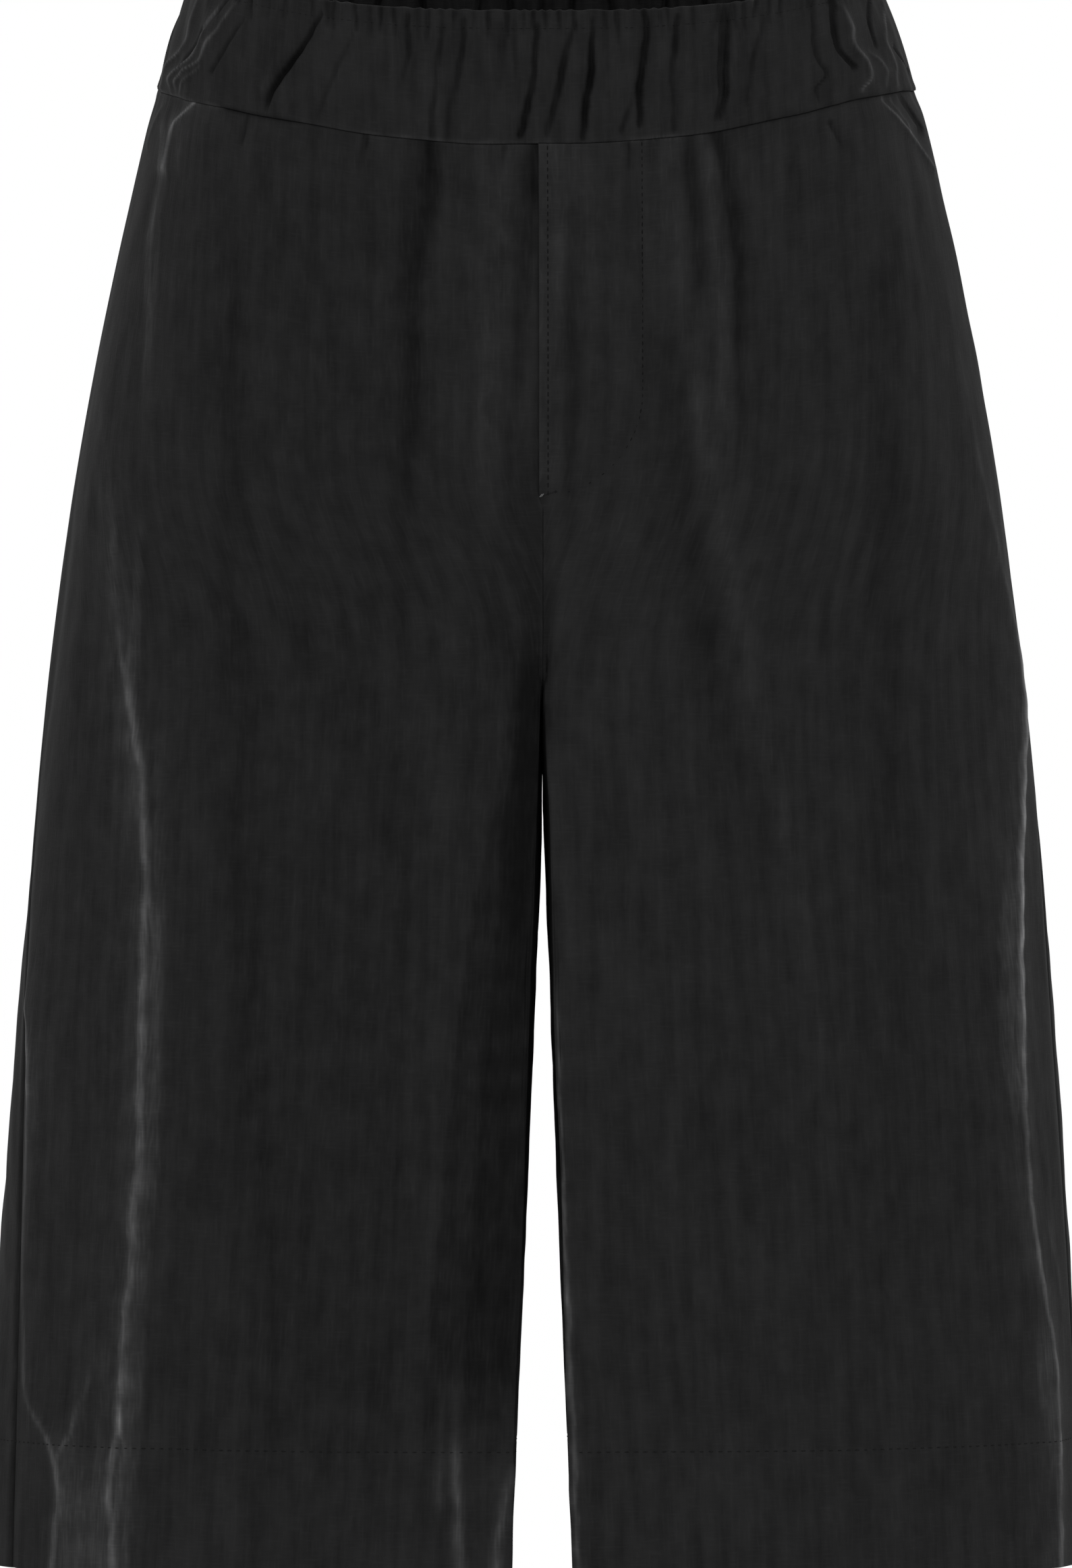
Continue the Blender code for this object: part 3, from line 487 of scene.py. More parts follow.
def foldRelief(ring, around, heights, folds, back, unit=1.0):
    # relief and tone, the tone being painted light and shade; around is the place round the
    # outline, more to the right as the front is seen, and unit is how many millimetres a height of
    # 1 stands for
    relief, tone = np.zeros_like(around), np.zeros_like(around)
    middle = ring.length[-1] if back else 0.0
    for fold in folds:
        near = between(heights, fold.low, fold.high, fold.soft)
        if not np.any(near):
            continue
        near = near * np.interp(heights, fold.heights, fold.strong)
        x = np.interp(heights, fold.heights, fold.xs)
        at = np.sign(fold.xs[0]) * np.abs(stationOf(ring, x, back) - middle)
        up = heights * unit + 17.0 * fold.number
        away = around - at - looseness["wander"] * (np.sin(up / 2.9) + 0.5 * np.sin(up / 1.1)
                                                    + 1.2 * np.sin(up / 7.3))
        u = np.abs(away) / np.where(away < 0, fold.left, fold.right)
        if fold.kind == "crease":
            # a slit between two soft lips, darkened with painted shade
            slit = np.exp(-np.abs(away / (0.5 + 0.6 * np.minimum(near, 1.3))) ** 2.4)
            shape = 0.20 * bell(u / 2.2) - 0.35 * np.exp(-u ** 1.5) - 0.65 * slit
            colour = 0.85 * slit + 0.15 * np.exp(-u ** 1.5)
        elif fold.kind == "edge":
            # a crest with a painted highlight along it, falling off on both sides
            blunt = 0.8 / np.where(away < 0, fold.left, fold.right)
            shape = np.exp(blunt - np.sqrt(u * u + blunt * blunt))
            core = 0.8 + 0.09 * max(fold.left, fold.right)
            colour = 0.62 * np.exp(-np.abs(away / core) ** 3) + 0.38 * np.exp(-1.3 * u)
        elif fold.kind == "flat":
            shape = colour = ease((1.0 - u) * 3.0)
        else:
            colour = bell(u)
            shape = colour if fold.kind == "ridge" else -colour
        # no fold is equally strong all along
        near = near * (1.0 + 0.08 * np.sin(up / 5.3) + 0.07 * np.sin(up / 2.3 + 2.0))
        relief += fold.rise * near * shape
        # the fold's painted highlight or painted shade
        tone += fold.tone * near * colour
    return relief, tone


def unevenness(along, up, sizes, seed):
    draw = np.random.default_rng(seed)
    total = np.zeros_like(along)
    for width, height, amount in sizes:
        for _ in range(4):
            wide, tall = width * draw.uniform(0.7, 1.5), height * draw.uniform(0.7, 1.5)
            lean, turn = draw.uniform(-0.4, 0.4), draw.uniform(0.0, 2.0 * math.pi)
            wave = 2.0 * math.pi * (along / wide + (1.0 + lean) * up / tall) + turn
            total += 0.6 * amount * np.sin(wave + 0.8 * np.sin(0.43 * wave + turn))
    return total


print("cloth: walls, seams and hems")

cloth = {
    "legWall": 1.3,        # one layer of linen
    "hemWall": 2.6,        # the turned-up hem
    "bandWall": 2.6,       # two layers over elastic
    "seamGap": 0.02,       # between neighbouring pieces
    "panelTop": 543.14,    # level of the legs' top edge, close under the band
    "centreGap": 0.02,     # between the left and right halves
    "hemStitch": 44.8,     # level of the hem's stitching
    "hemDrop": 1.6,        # how much longer the legs hang than their plain form
    "dropLevels": (30, 0),
    "seamShade": 0.5,      # how much darker the side seams are, low down
    "shadeWidth": 2.2,
    "shadeLevels": (350, 270),
    "centreHighlight": 0.08,    # how much a painted highlight lightens the centre seams
    "centreWidth": 0.8,
    "seamSink": 0.8,       # how far the cloth dips at a seam
    "seamReach": 1.8,
    "softFront": 0.15,     # what share of the dip the centre front seam has above these levels
    "softLevels": (372, 312),
    "calm": {"centre": 7.0, "side": 12.0, "top": 9.0, "band": 7.0},  # how near folds come to seams
    "hemGroove": 0.15,     # how deep the hem's stitching lies
    "tail": {"front": 15.0, "back": 34.0},  # how far the band's gathers run on into the legs
    "tailSink": 0.6,       # how much flatter the legs lie there
    "waveReach": 15.0,     # how far up and down the band seam's waves are felt
    # short puckers of the band's header, front and back each: how many, how far out they reach,
    # how far each may stray, how deep it is, how far its foot swings out and how low that lies
    "ticks": {"count": 44, "reach": 117, "stray": 2.6, "depth": (0.3, 1.0), "swing": 1.2,
              "foot": (0.76, 0.88)},
    "pressed": 2.5,        # how much tighter the seams' edges are rounded than the hem's
    "seamRound": 0.45,     # and how much of the wall that takes
    "holdReach": 5.0,      # how near a centre seam the cloth keeps to the middle plane
    "hemSag": 0.4,         # of the hem's stitching, half way round
    "cornerColumns": 24,
    "faceColumns": 158,
    "edge": (0.0, 0.15, 0.45, 0.95),        # extra columns at a panel's two edges
    "evenFrom": 1.6,       # how far from the edges the even columns start
}


def rounding(distance, wall, share=0.9):
    # how much a wall narrows near its edge, so that the edge comes out round
    r = wall / 2.0
    inside = np.clip(r - distance, 0.0, r)
    return share * (r - np.sqrt(np.maximum(r * r - inside * inside, 0.0)))


def gatherRelief(ring, around, share, back):
    # relief of the band and its painted light and shade, which the tops of the legs take up too
    side = "back" if back else "front"
    up = np.full_like(around, share)
    relief, tone = foldRelief(ring, around, up, bandReady[side], back, form["bandHeight"])
    relief += unevenness(around, form["bandHeight"] * up,
                         looseness["backBand" if back else "band"], 5 + back)
    half = abs((ring.length[-1] if back else 0.0) - ring.sideAt)
    return relief * ease((half - np.abs(around)) / cloth["calm"]["band"]), tone


paintedSeamLight = (   # painted light and shade along the band's seam, from the wearer's right side to the left
    (-141, 1.0), (-129, 0.8), (-125, -0.7), (-100, -0.7), (-88, 0.2), (-64, 0.5), (-46, 0.7),
    (-2, 0.6), (6, 0.1), (24, 0.1), (36, 0.8), (54, 0.8), (62, 0.0), (92, -0.3), (135, -0.4))


def seamWander(around):
    # the band's seam is not sewn quite level, and its painted light and shade vary along it
    rise = 0.2 * np.sin(around / 17.0 + 0.6) + 0.15 * np.sin(around / 6.7 + 2.0)
    light = np.interp(around, *np.array(paintedSeamLight).T)
    return rise, light * (0.8 + 0.3 * np.sin(around / 3.1) * np.sin(around / 7.7 + 1.0))


def headerTicks(seed):
    # short puckers where the header is stitched, at uneven distances, each darkened with painted
    # shade
    draw = np.random.default_rng(seed)
    ticks, sizes = [], cloth["ticks"]
    for x in np.linspace(-sizes["reach"], sizes["reach"], sizes["count"]):
        x, depth = x + draw.uniform(-sizes["stray"], sizes["stray"]), draw.uniform(*sizes["depth"])
        foot = x + draw.uniform(-sizes["swing"], sizes["swing"]), draw.uniform(*sizes["foot"]), 0.4
        ticks.append(("crease", 1.1 * depth, -0.9 * depth, 1.6, 1.3, 0.04, (x, 1.03), foot))
    return ticks


bandReady = {side: readyFolds(table + tuple(headerTicks(seed)))
             for seed, (side, table) in enumerate(bandFolds.items())}
legReady = {(side, name): readyFolds(table, side) for name, table in legFolds.items()
            for side in (1, -1)}

print("fly: the J-stitched layer on the wearer's left")

fly = {
    "width": 36.0,         # from the centre front to the J stitching
    "foot": 399.0,         # level of the J's foot
    "curve": 42.0,         # height of its curve
    "lift": 1.25,          # how far the left front stands out over the right
    "liftReach": 9.0,      # over what distance from the J stitching it comes to that
    "under": (0.4, 5.0),   # how deep and how far from the middle the right front lies under it
    "start": 6.0,          # how far under the foot the lap starts
    "lip": 1.5,            # how far its folded edge laps over the middle
    "lipReach": 7.0,
    "edgeStitch": 2.4,     # the straight row's distance from the middle
    "grooves": (0.30, 0.20),                # how deep the J row and the straight row lie
    "stitchTop": 541.5,    # level where both rows start
    "facingWall": 1.1,
    "facingGap": 0.35,
    "facingTop": 542.4,
    "facingFoot": 4.0,     # over the J's foot
    "facingEdge": 1.5,     # from the middle, and from the J's stitching
}


def flyWidth(level):
    above = min(max(level - fly["foot"], 0.0), fly["curve"]) / fly["curve"]
    return fly["width"] * math.sqrt(1.0 - (1.0 - above) ** 2)


def panelStations(ring, back, level):
    # a fixed number of columns round the corner and the rest out to the side seam
    trim = cloth["seamGap"] / 2 if level <= form["crotch"] else 0.0
    edge, even = np.array(cloth["edge"]), cloth["evenFrom"]
    if back:
        face = stretchOut(ring, ring.sideAt + cloth["seamGap"] / 2 + even, ring.backFace,
                          cloth["faceColumns"])
        bend = stretchOut(ring, ring.backFace, ring.length[-1] - trim - even,
                          cloth["cornerColumns"])
        return np.concatenate((ring.sideAt + cloth["seamGap"] / 2 + edge, face[:-1], bend,
                               (ring.length[-1] - trim - edge)[::-1]))
    face = stretchOut(ring, ring.frontFace, ring.sideAt - cloth["seamGap"] / 2 - even,
                      cloth["faceColumns"])
    bend = stretchOut(ring, trim + even, ring.frontFace, cloth["cornerColumns"])
    return np.concatenate((trim + edge, bend, face[1:],
                           (ring.sideAt - cloth["seamGap"] / 2 - edge)[::-1]))


def panelRow(level, side, back, stations=None):
    # one level of a leg panel on x > 0: plain points, outward directions and relief
    ring = ringAt(level, side)
    if stations is None:
        stations = panelStations(ring, back, level)
    base, out = levelPoints(ring, stations, level, side)
    heights = base[:, 2] + originHeight
    name, middle = ("back", ring.length[-1]) if back else ("front", 0.0)
    fromMiddle = np.abs(stations - middle)
    fromSide = np.abs(stations - ring.sideAt)
    around = side * fromMiddle
    relief, tone = foldRelief(ring, around, heights, legReady[(side, name)], back)
    faceAt = ring.backFace if back else ring.frontFace
    relief += unevenness(np.abs(stations - faceAt), heights, looseness["legs"],
                         11 + 2 * back + (side > 0))
    calm = cloth["calm"]
    relief *= ease(fromMiddle / calm["centre"]) * ease(fromSide / calm["side"])
    relief *= ease((cloth["panelTop"] - level) / calm["top"])
    tail = ease(1.0 - (form["bandSeam"] - level) / cloth["tail"][name])
    if tail > 0.0:
        gathers, gatherTone = gatherRelief(ring, around, 0.0, back)
        relief += tail * (gathers - cloth["tailSink"])
        # the band's painted light and shade run on into the legs with its gathers
        tone += tail * gatherTone
    sink = cloth["seamSink"]
    relief -= sink * bell(fromSide / cloth["seamReach"])
    relief -= cloth["hemGroove"] * bell(heights - cloth["hemStitch"]) * (level < 60.0)
    laps = ease((level - fly["foot"] + fly["start"]) / fly["start"])
    if side > 0 and not back:
        width = flyWidth(level)
        relief += fly["lift"] * ease((width - fromMiddle) / fly["liftReach"] + 0.1)
        if width > 0.0:
            relief -= fly["grooves"][0] * bell(fromMiddle - width)
            relief -= fly["grooves"][1] * bell((fromMiddle - fly["edgeStitch"]) / 0.9)
    if not back:
        soft = cloth["softFront"]
        sink *= (soft + (1.0 - soft) * step(level, cloth["softLevels"])) * (1.0 - laps)
    relief -= sink * np.abs(out[:, 1]) * bell(fromMiddle / cloth["seamReach"])
    if side < 0 and not back:
        depth, reach = fly["under"]
        relief -= depth * laps * bell(fromMiddle / reach)
    rise, light = seamWander(around)
    base[:, 2] += rise * step(level, (form["bandSeam"] - cloth["waveReach"], form["bandSeam"]))
    # painted light and shade along the band's seam
    tone += band["seamTone"] * light * bell((cloth["panelTop"] - level) / 0.9)
    # a painted highlight along the centre seams
    centre = bell(fromMiddle / cloth["centreWidth"]) * (level > form["crotch"])
    tone += cloth["centreHighlight"] * centre
    tone -= cloth["seamShade"] * bell(fromSide / cloth["shadeWidth"]) * step(
        level, cloth["shadeLevels"])
    base[:, 2] -= cloth["hemDrop"] * step(level, cloth["dropLevels"])
    return SimpleNamespace(base=base, out=out, relief=relief, tone=tone, stations=stations,
                           fromMiddle=fromMiddle, laps=laps,
                           grain=(stations - faceAt) * (-1.0 if back else 1.0))


def lapOver(row):
    # how far the fly's folded edge stands over the middle plane
    return fly["lip"] * row.laps * np.clip(1 - row.fromMiddle / fly["lipReach"], 0, 1) ** 2


def panelLevels():
    # close together at the top, round the fork and at the hem, wider apart in between
    top, crotch, fork = cloth["panelTop"], form["crotch"], form["frontFork"]
    edge = np.array(cloth["edge"])
    turns = np.radians(np.arange(3.6, 90.0, 3.6))
    seam = cloth["hemStitch"]
    return np.concatenate((
        top - edge, np.linspace(top - 1.7, top - 38.0, 40), np.linspace(top - 41.0, fork, 50),
        fork - (fork - crotch) * np.sin(turns),
        (crotch + 0.02,), np.linspace(crotch, seam + 2.2, 96), seam + np.array((1.2, .5, 0, -.5)),
        np.linspace(seam - 1.3, 3.2, 17), (2.1, 1.3, 0.75, 0.3, 0.08, 0.0)))


def addObject(name, data):
    thing = bpy.data.objects.new(name, data)
    bpy.context.scene.collection.objects.link(thing)
    return thing


def makeMesh(name, outer, inner, uv, tone, material):
    # a closed wall of cloth between two grids of points, in metres once it is made
    rows, columns = outer.shape[:2]
    count = rows * columns
    i, j = np.meshgrid(np.arange(rows - 1), np.arange(columns - 1), indexing="ij")
    a = (i * columns + j).ravel()
    b = a + columns
    faces = np.concatenate((np.column_stack((a, b, b + 1, a + 1)),
                            np.column_stack((a, a + 1, b + 1, b)) + count))
    rim = np.concatenate((np.arange(columns), np.arange(2, rows) * columns - 1,
                          count - 1 - np.arange(columns), np.arange(rows - 2, 0, -1) * columns))
    there = np.roll(rim, -1)
    faces = np.concatenate((faces, np.column_stack((rim, there, there + count, rim + count))))
    points = np.concatenate((outer.reshape(-1, 3), inner.reshape(-1, 3))) * mm
    mesh = bpy.data.meshes.new(name)
    mesh.from_pydata(points.tolist(), [], faces.tolist())
    layer = mesh.uv_layers.new(name="cloth")
    corners = np.empty(len(mesh.loops), dtype=np.int32)
    mesh.loops.foreach_get("vertex_index", corners)
    places = np.concatenate((uv.reshape(-1, 2), uv.reshape(-1, 2) + (0.37, 0.61)))
    layer.uv.foreach_set("vector", places[corners].astype(np.float32).ravel())
    # the tone is painted light and shade, which scales the linen's colour
    paintedLightShade = mesh.attributes.new("tone", "FLOAT", "POINT")
    paintedLightShade.data.foreach_set("value", np.tile(tone.ravel(), 2).astype(np.float32))
    mesh.shade_smooth()
    mesh.materials.append(material)
    return addObject(name, mesh)


def mirrored(grid):
    return (grid * np.array((-1.0, 1.0, 1.0)))[:, ::-1]


def clothPlace(across, level):
    # where a point lies in the linen's pattern
    return np.column_stack((across * mm, np.full(len(across), level * mm)))


def legPanel(name, side, back, material):
    rows = []
    levels = panelLevels()
    for level in levels:
        row = panelRow(level, side, back)
        wall = cloth["legWall"] + (cloth["hemWall"] - cloth["legWall"]) * ease(
            (cloth["hemStitch"] + 0.3 - level) / 0.6)
        columnEdge = np.minimum(row.stations - row.stations[0], row.stations[-1] - row.stations)
        seamEdge = cloth["pressed"] * np.minimum(columnEdge, levels[0] - level)
        narrow = np.maximum(rounding(seamEdge, wall, cloth["seamRound"]),
                            rounding(level, wall))[:, None]
        relief = row.relief[:, None]
        # where a centre seam faces forward or back, its edge keeps to the middle plane
        hold = 1.0 - ease(row.fromMiddle / cloth["holdReach"])
        hold *= np.clip(3.0 * np.abs(row.out[:, 1]), 0.0, 1.0)
        faces = []
        for push in (relief - narrow, relief - wall + narrow):
            points = row.base + push * row.out
            points[:, 0] += hold * (row.base[:, 0] - points[:, 0])
            points[:, 0] = np.maximum(points[:, 0], cloth["centreGap"] / 2)
            if side > 0 and not back:
                points[:, 0] -= lapOver(row)
            faces.append(points)
        rows.append((*faces, clothPlace(row.grain, level), row.tone))
    outer, inner, uv, tone = (np.array(part) for part in zip(*rows))
    if side < 0:
        outer, inner, uv, tone = mirrored(outer), mirrored(inner), uv[:, ::-1], tone[:, ::-1]
    return makeMesh(name, lean(outer), lean(inner), uv + (0.9 * side, 1.3 * back), tone, material)


band = {
    "top": 593.0,
    "foot": 543.15,
    "columns": 385,         # of each half, from the middle to the side seam
    "header": 0.86,         # share of the height where the header is stitched
    "groove": 0.25,         # how deep that stitching lies
    "puff": 0.7,            # how far the band swells between its seams
    "pucker": 0.25,         # depth of the header's fine puckers
    "puckerWidth": 6.2,
    "topWave": 0.22,        # how far the top edge waves up and down with them
    "roll": 0.4,            # how far its foot stands out over the legs
    "rollAt": (0.03, 0.035),                # at what share of the height, and how widely
    "calm": {"puckers": 6.0, "roll": 14.0},  # how near they come to the side seams
    "seamTone": 0.7,        # how strongly the seam's painted light and shade show
}


def bandRow(level, back, around=None):
    ring = ringAt(level, 1)
    middle = ring.length[-1] if back else 0.0
    half = abs(ring.sideAt - middle) - cloth["seamGap"] / 2
    if around is None:
        edge = np.array(cloth["edge"])
        run = np.linspace(0.0, half - 1.5, band["columns"] - len(edge))
        run = np.concatenate((run, (half - edge)[::-1]))
        around = np.concatenate((-run[:0:-1], run))
    flip = np.where(around < 0.0, -1.0, 1.0)
    base, out = levelPoints(ring, np.abs(np.abs(around) - middle), level, flip)
    base[:, 0] *= flip
    out[:, 0] *= flip
    base[around == 0.0, 0], out[around == 0.0, 0] = 0.0, 0.0
    share = (level - band["foot"]) / (band["top"] - band["foot"])
    relief, tone = gatherRelief(ring, around, share, back)
    relief += band["puff"] * math.sin(math.pi * share)
    # the header's fine puckers, at uneven distances
    wave = around / band["puckerWidth"] + 1.3 * np.sin(around / 23.0) + 0.8 * np.sin(around / 6.3)
    header = ease((share - band["header"] + 0.10) / 0.10)
    fromSide = half - np.abs(around)
    calm = ease(fromSide / band["calm"]["puckers"])
    relief += header * band["pucker"] * calm * (0.6 + 0.4 * np.sin(around / 13.0)) * np.sin(
        2.0 * math.pi * wave)
    relief -= band["groove"] * bell((share - band["header"]) / 0.03)
    rollAt, reach = band["rollAt"]
    relief += band["roll"] * ease(fromSide / band["calm"]["roll"]) * bell((share - rollAt) / reach)
    relief -= cloth["seamSink"] * bell(fromSide / cloth["seamReach"])
    lift = band["topWave"] * header * np.sin(2.0 * math.pi * wave + 1.0) * calm
    base[:, 2] += lift * ease((share - band["header"]) / (1.0 - band["header"]))
    rise, light = seamWander(around)
    base[:, 2] += rise * step(level, (form["bandSeam"] + cloth["waveReach"], form["bandSeam"]))
    # painted light and shade along the band's seam
    tone += band["seamTone"] * light * bell((level - band["foot"]) / 1.2)
    return SimpleNamespace(base=base, out=out, relief=relief, tone=tone, around=around,
                           fromSide=fromSide)


def bandHalf(name, back, material):
    top, foot = band["top"], band["foot"]
    edge = np.array((0.0, 0.10, 0.32, 0.70, 1.2))
    levels = np.concatenate((top - edge, np.linspace(top - 2.0, foot + 5.0, 42),
                             np.linspace(foot + 4.2, foot + 1.9, 4), (foot + edge)[::-1]))
    wall, rows = cloth["bandWall"], []
    for level in levels:
        row = bandRow(level, back)
        seamEdge = cloth["pressed"] * np.minimum(row.fromSide, level - foot)
        narrow = np.maximum(rounding(seamEdge, wall, cloth["seamRound"]),
                            rounding(top - level, wall))[:, None]
        relief = row.relief[:, None]
        rows.append((row.base + (relief - narrow) * row.out,
                     row.base + (relief - wall + narrow) * row.out,
                     clothPlace(row.around * 1.15, level), row.tone))
    outer, inner, uv, tone = (np.array(part) for part in zip(*rows))
    if back:
        outer, inner, uv, tone = (part[:, ::-1] for part in (outer, inner, uv, tone))
    return makeMesh(name, outer, inner, uv + (2.3, 1.7 * back), tone, material)


print("linen: weave, slubs and thread")


def addNode(tree, kind, x, y, **settings):
    node = tree.nodes.new(kind)
    node.location = (x, y)
    for key, value in settings.items():
        setattr(node, key, value)
    return node


def setInputs(node, values):
    for socket, value in values.items():
        node.inputs[socket].default_value = value


def newMaterial(name):
    material = bpy.data.materials.new(name)
    material.use_nodes = True
    return material, material.node_tree, material.node_tree.nodes["Principled BSDF"]


def threadNoise(tree, uv, width, length, x, y, detail=1.0):
    # noise drawn out into threads: width across the cloth, length up it, in metres
    mapping = addNode(tree, "ShaderNodeMapping", x, y)
    setInputs(mapping, {"Scale": (1.0 / width, 1.0 / length, 1.0)})
    noise = addNode(tree, "ShaderNodeTexNoise", x + 200, y, noise_dimensions="2D")
    setInputs(noise, {"Scale": 1.0, "Detail": detail})
    tree.links.new(uv, mapping.inputs["Vector"])
    tree.links.new(mapping.outputs["Vector"], noise.inputs["Vector"])
    return noise.outputs["Fac"]


def mathNode(tree, operation, a, b, x, y):
    node = addNode(tree, "ShaderNodeMath", x, y, operation=operation)
    for socket, value in zip(node.inputs, (a, b)):
        if isinstance(value, (int, float)):
            socket.default_value = value
        else:
            tree.links.new(value, socket)
    return node.outputs[0]


def spread(tree, value, ends, x, y):
    # 0 at the first end, 1 at the second
    node = addNode(tree, "ShaderNodeMapRange", x, y)
    tree.links.new(value, node.inputs["Value"])
    setInputs(node, {"From Min": ends[0], "From Max": ends[1]})
    return node.outputs["Result"]


linen = {
    "dark": (0.0140, 0.0140, 0.0142),
    "light": (0.0335, 0.0335, 0.0339),
    "roughness": 0.62,
    "sheen": 0.003,
    "sheenRoughness": 0.4,
    "specular": 0.045,
    # noise: width across the cloth and length up it, in metres
    "warp": (0.0007, 0.006),
    "weft": (0.005, 0.0006),
    "slubUp": (0.0009, 0.008),
    "slubOver": (0.007, 0.0009),
    "patch": (0.009, 0.013),
    "cloud": (0.024, 0.045),
    "streak": (0.0045, 0.060),
    # between which values of the noise each of these comes in
    "ranges": {"weave": (0.62, 1.38), "slub": (0.62, 0.82), "patch": (0.3, 0.7),
               "cloud": (0.25, 0.75), "streak": (0.3, 0.7)},
    # how much each counts
    "weave": 0.12,
    "slubs": 0.12,
    "patches": 0.24,
    "clouds": 0.16,
    "streaks": 0.30,
    "bump": 0.2,
    "relief": 0.00022,
    "paintedLightGain": 3.0,            # how many times paler a tone of 1 of painted light makes it, and darker at -1
    "paintedRaggedness": 0.32,          # how ragged the painted light and shade are
}


def makeLinen(name, shade=1.0):
    material, tree, shader = newMaterial(name)
    uv = addNode(tree, "ShaderNodeUVMap", -1500, 0, uv_map="cloth").outputs["UV"]
    noise = {part: threadNoise(tree, uv, *linen[part], -1300, 400 - 200 * row, 2.0 * (row > 3))
             for row, part in enumerate(("warp", "weft", "slubUp", "slubOver", "patch", "cloud",
                                         "streak"))}
    ranges = linen["ranges"]
    weave = spread(tree, mathNode(tree, "ADD", noise["warp"], noise["weft"], -880, 200),
                   ranges["weave"], -700, 200)
    slubs = mathNode(tree, "MAXIMUM", spread(tree, noise["slubUp"], ranges["slub"], -880, -100),
                     spread(tree, noise["slubOver"], ranges["slub"], -880, -300), -700, -200)
    tone = mathNode(tree, "MULTIPLY", weave, linen["weave"], -520, 200)
    for row, (value, share) in enumerate((
            (slubs, "slubs"),
            (spread(tree, noise["patch"], ranges["patch"], -880, -500), "patches"),
            (spread(tree, noise["cloud"], ranges["cloud"], -880, -700), "clouds"),
            (spread(tree, noise["streak"], ranges["streak"], -880, -900), "streaks"))):
        part = mathNode(tree, "MULTIPLY", value, linen[share], -520, -200 - 200 * row)
        tone = mathNode(tree, "ADD", tone, part, -360 + 60 * row, 100)
    mix = addNode(tree, "ShaderNodeMix", -40, 200, data_type="RGBA")
    ends = [socket for socket in mix.inputs if socket.type == "RGBA"]
    for socket, colour in zip(ends, (linen["dark"], linen["light"])):
        socket.default_value = (*(shade * part for part in colour), 1.0)
    tree.links.new(tone, mix.inputs["Factor"])
    result = [socket for socket in mix.outputs if socket.type == "RGBA"][0]
    # painted light and shade from the tone attribute scale the base colour
    paintedLightShade = addNode(tree, "ShaderNodeAttribute", -540, 500, attribute_name="tone").outputs["Fac"]
    # painted highlights and shades fray out along the threads, the more the stronger they are
    raggedPaint = mathNode(tree, "ADD", noise["patch"], noise["slubUp"], -700, 700)
    raggedPaint = mathNode(tree, "SUBTRACT", raggedPaint, 1.0, -600, 700)
    raggedPaint = mathNode(tree, "MULTIPLY", raggedPaint, linen["paintedRaggedness"], -500, 700)
    most = mathNode(tree, "MINIMUM", mathNode(tree, "ABSOLUTE", paintedLightShade, 0.0, -500, 850), 0.5,
                    -400, 850)
    raggedPaint = mathNode(tree, "MULTIPLY", raggedPaint, mathNode(tree, "MULTIPLY", most, 2.0, -300, 850),
                      -300, 700)
    paintedLightShade = mathNode(tree, "ADD", paintedLightShade, raggedPaint, -200, 500)
    paler = mathNode(tree, "POWER", linen["paintedLightGain"], paintedLightShade, -100, 500)
    scaled = addNode(tree, "ShaderNodeVectorMath", 140, 300, operation="SCALE")
    tree.links.new(result, scaled.inputs[0])
    tree.links.new(paler, scaled.inputs["Scale"])
    tree.links.new(scaled.outputs["Vector"], shader.inputs["Base Color"])
    height = mathNode(tree, "ADD", weave, slubs, -360, -100)
    bump = addNode(tree, "ShaderNodeBump", -40, -200)
    setInputs(bump, {"Strength": linen["bump"], "Distance": linen["relief"]})
    tree.links.new(height, bump.inputs["Height"])
    tree.links.new(bump.outputs["Normal"], shader.inputs["Normal"])
    setInputs(shader, {
        "Roughness": linen["roughness"], "Specular IOR Level": linen["specular"],
        "Sheen Weight": linen["sheen"], "Sheen Roughness": linen["sheenRoughness"]})
    return material


threadLook = {
    "noise": 2600.0,       # how fine its fibres are, as cells of noise in a metre
    "dark": (0.3, 0.6),    # where the noise is this low, how much of the colour it has
    "light": (0.7, 1.5),
    "bump": 0.4,
    "relief": 0.0001,
    "roughness": 0.6,
}


def makeThread(name, colour, specular=0.3):
    material, tree, shader = newMaterial(name)
    place = addNode(tree, "ShaderNodeTexCoord", -900, 0).outputs["Object"]
    noise = addNode(tree, "ShaderNodeTexNoise", -700, 0)
    setInputs(noise, {"Scale": threadLook["noise"], "Detail": 1.0})
    tree.links.new(place, noise.inputs["Vector"])
    ramp = addNode(tree, "ShaderNodeValToRGB", -500, 0)
    for element, end in zip(ramp.color_ramp.elements, ("dark", "light")):
        element.position, share = threadLook[end]
        element.color = (*(share * part for part in colour), 1.0)
    tree.links.new(noise.outputs["Fac"], ramp.inputs["Fac"])
    tree.links.new(ramp.outputs["Color"], shader.inputs["Base Color"])
    bump = addNode(tree, "ShaderNodeBump", -300, -200)
    setInputs(bump, {"Strength": threadLook["bump"], "Distance": threadLook["relief"]})
    tree.links.new(noise.outputs["Fac"], bump.inputs["Height"])
    tree.links.new(bump.outputs["Normal"], shader.inputs["Normal"])
    setInputs(shader, {"Roughness": threadLook["roughness"], "Specular IOR Level": specular})
    return material


legLinen = makeLinen("linen")
bandLinen = makeLinen("bandLinen", 0.92)
thread = makeThread("sewingThread", (0.013, 0.013, 0.0132), 0.05)
flyThread = makeThread("flyThread", (0.0085, 0.0085, 0.0087), 0.05)
tackThread = makeThread("tackThread", (0.12, 0.12, 0.12))

print("panels: four leg panels and two halves of the band")

panelNames = {
    "frontLeft": ("front_left", 1, False), "frontRight": ("front_right", -1, False),
    "backLeft": ("back_left", 1, True), "backRight": ("back_right", -1, True),
}
panels = {name: legPanel(name, side, back, legLinen)
          for name, (node, side, back) in panelNames.items()}
bandFront = bandHalf("bandFront", False, bandLinen)
bandBack = bandHalf("bandBack", True, bandLinen)


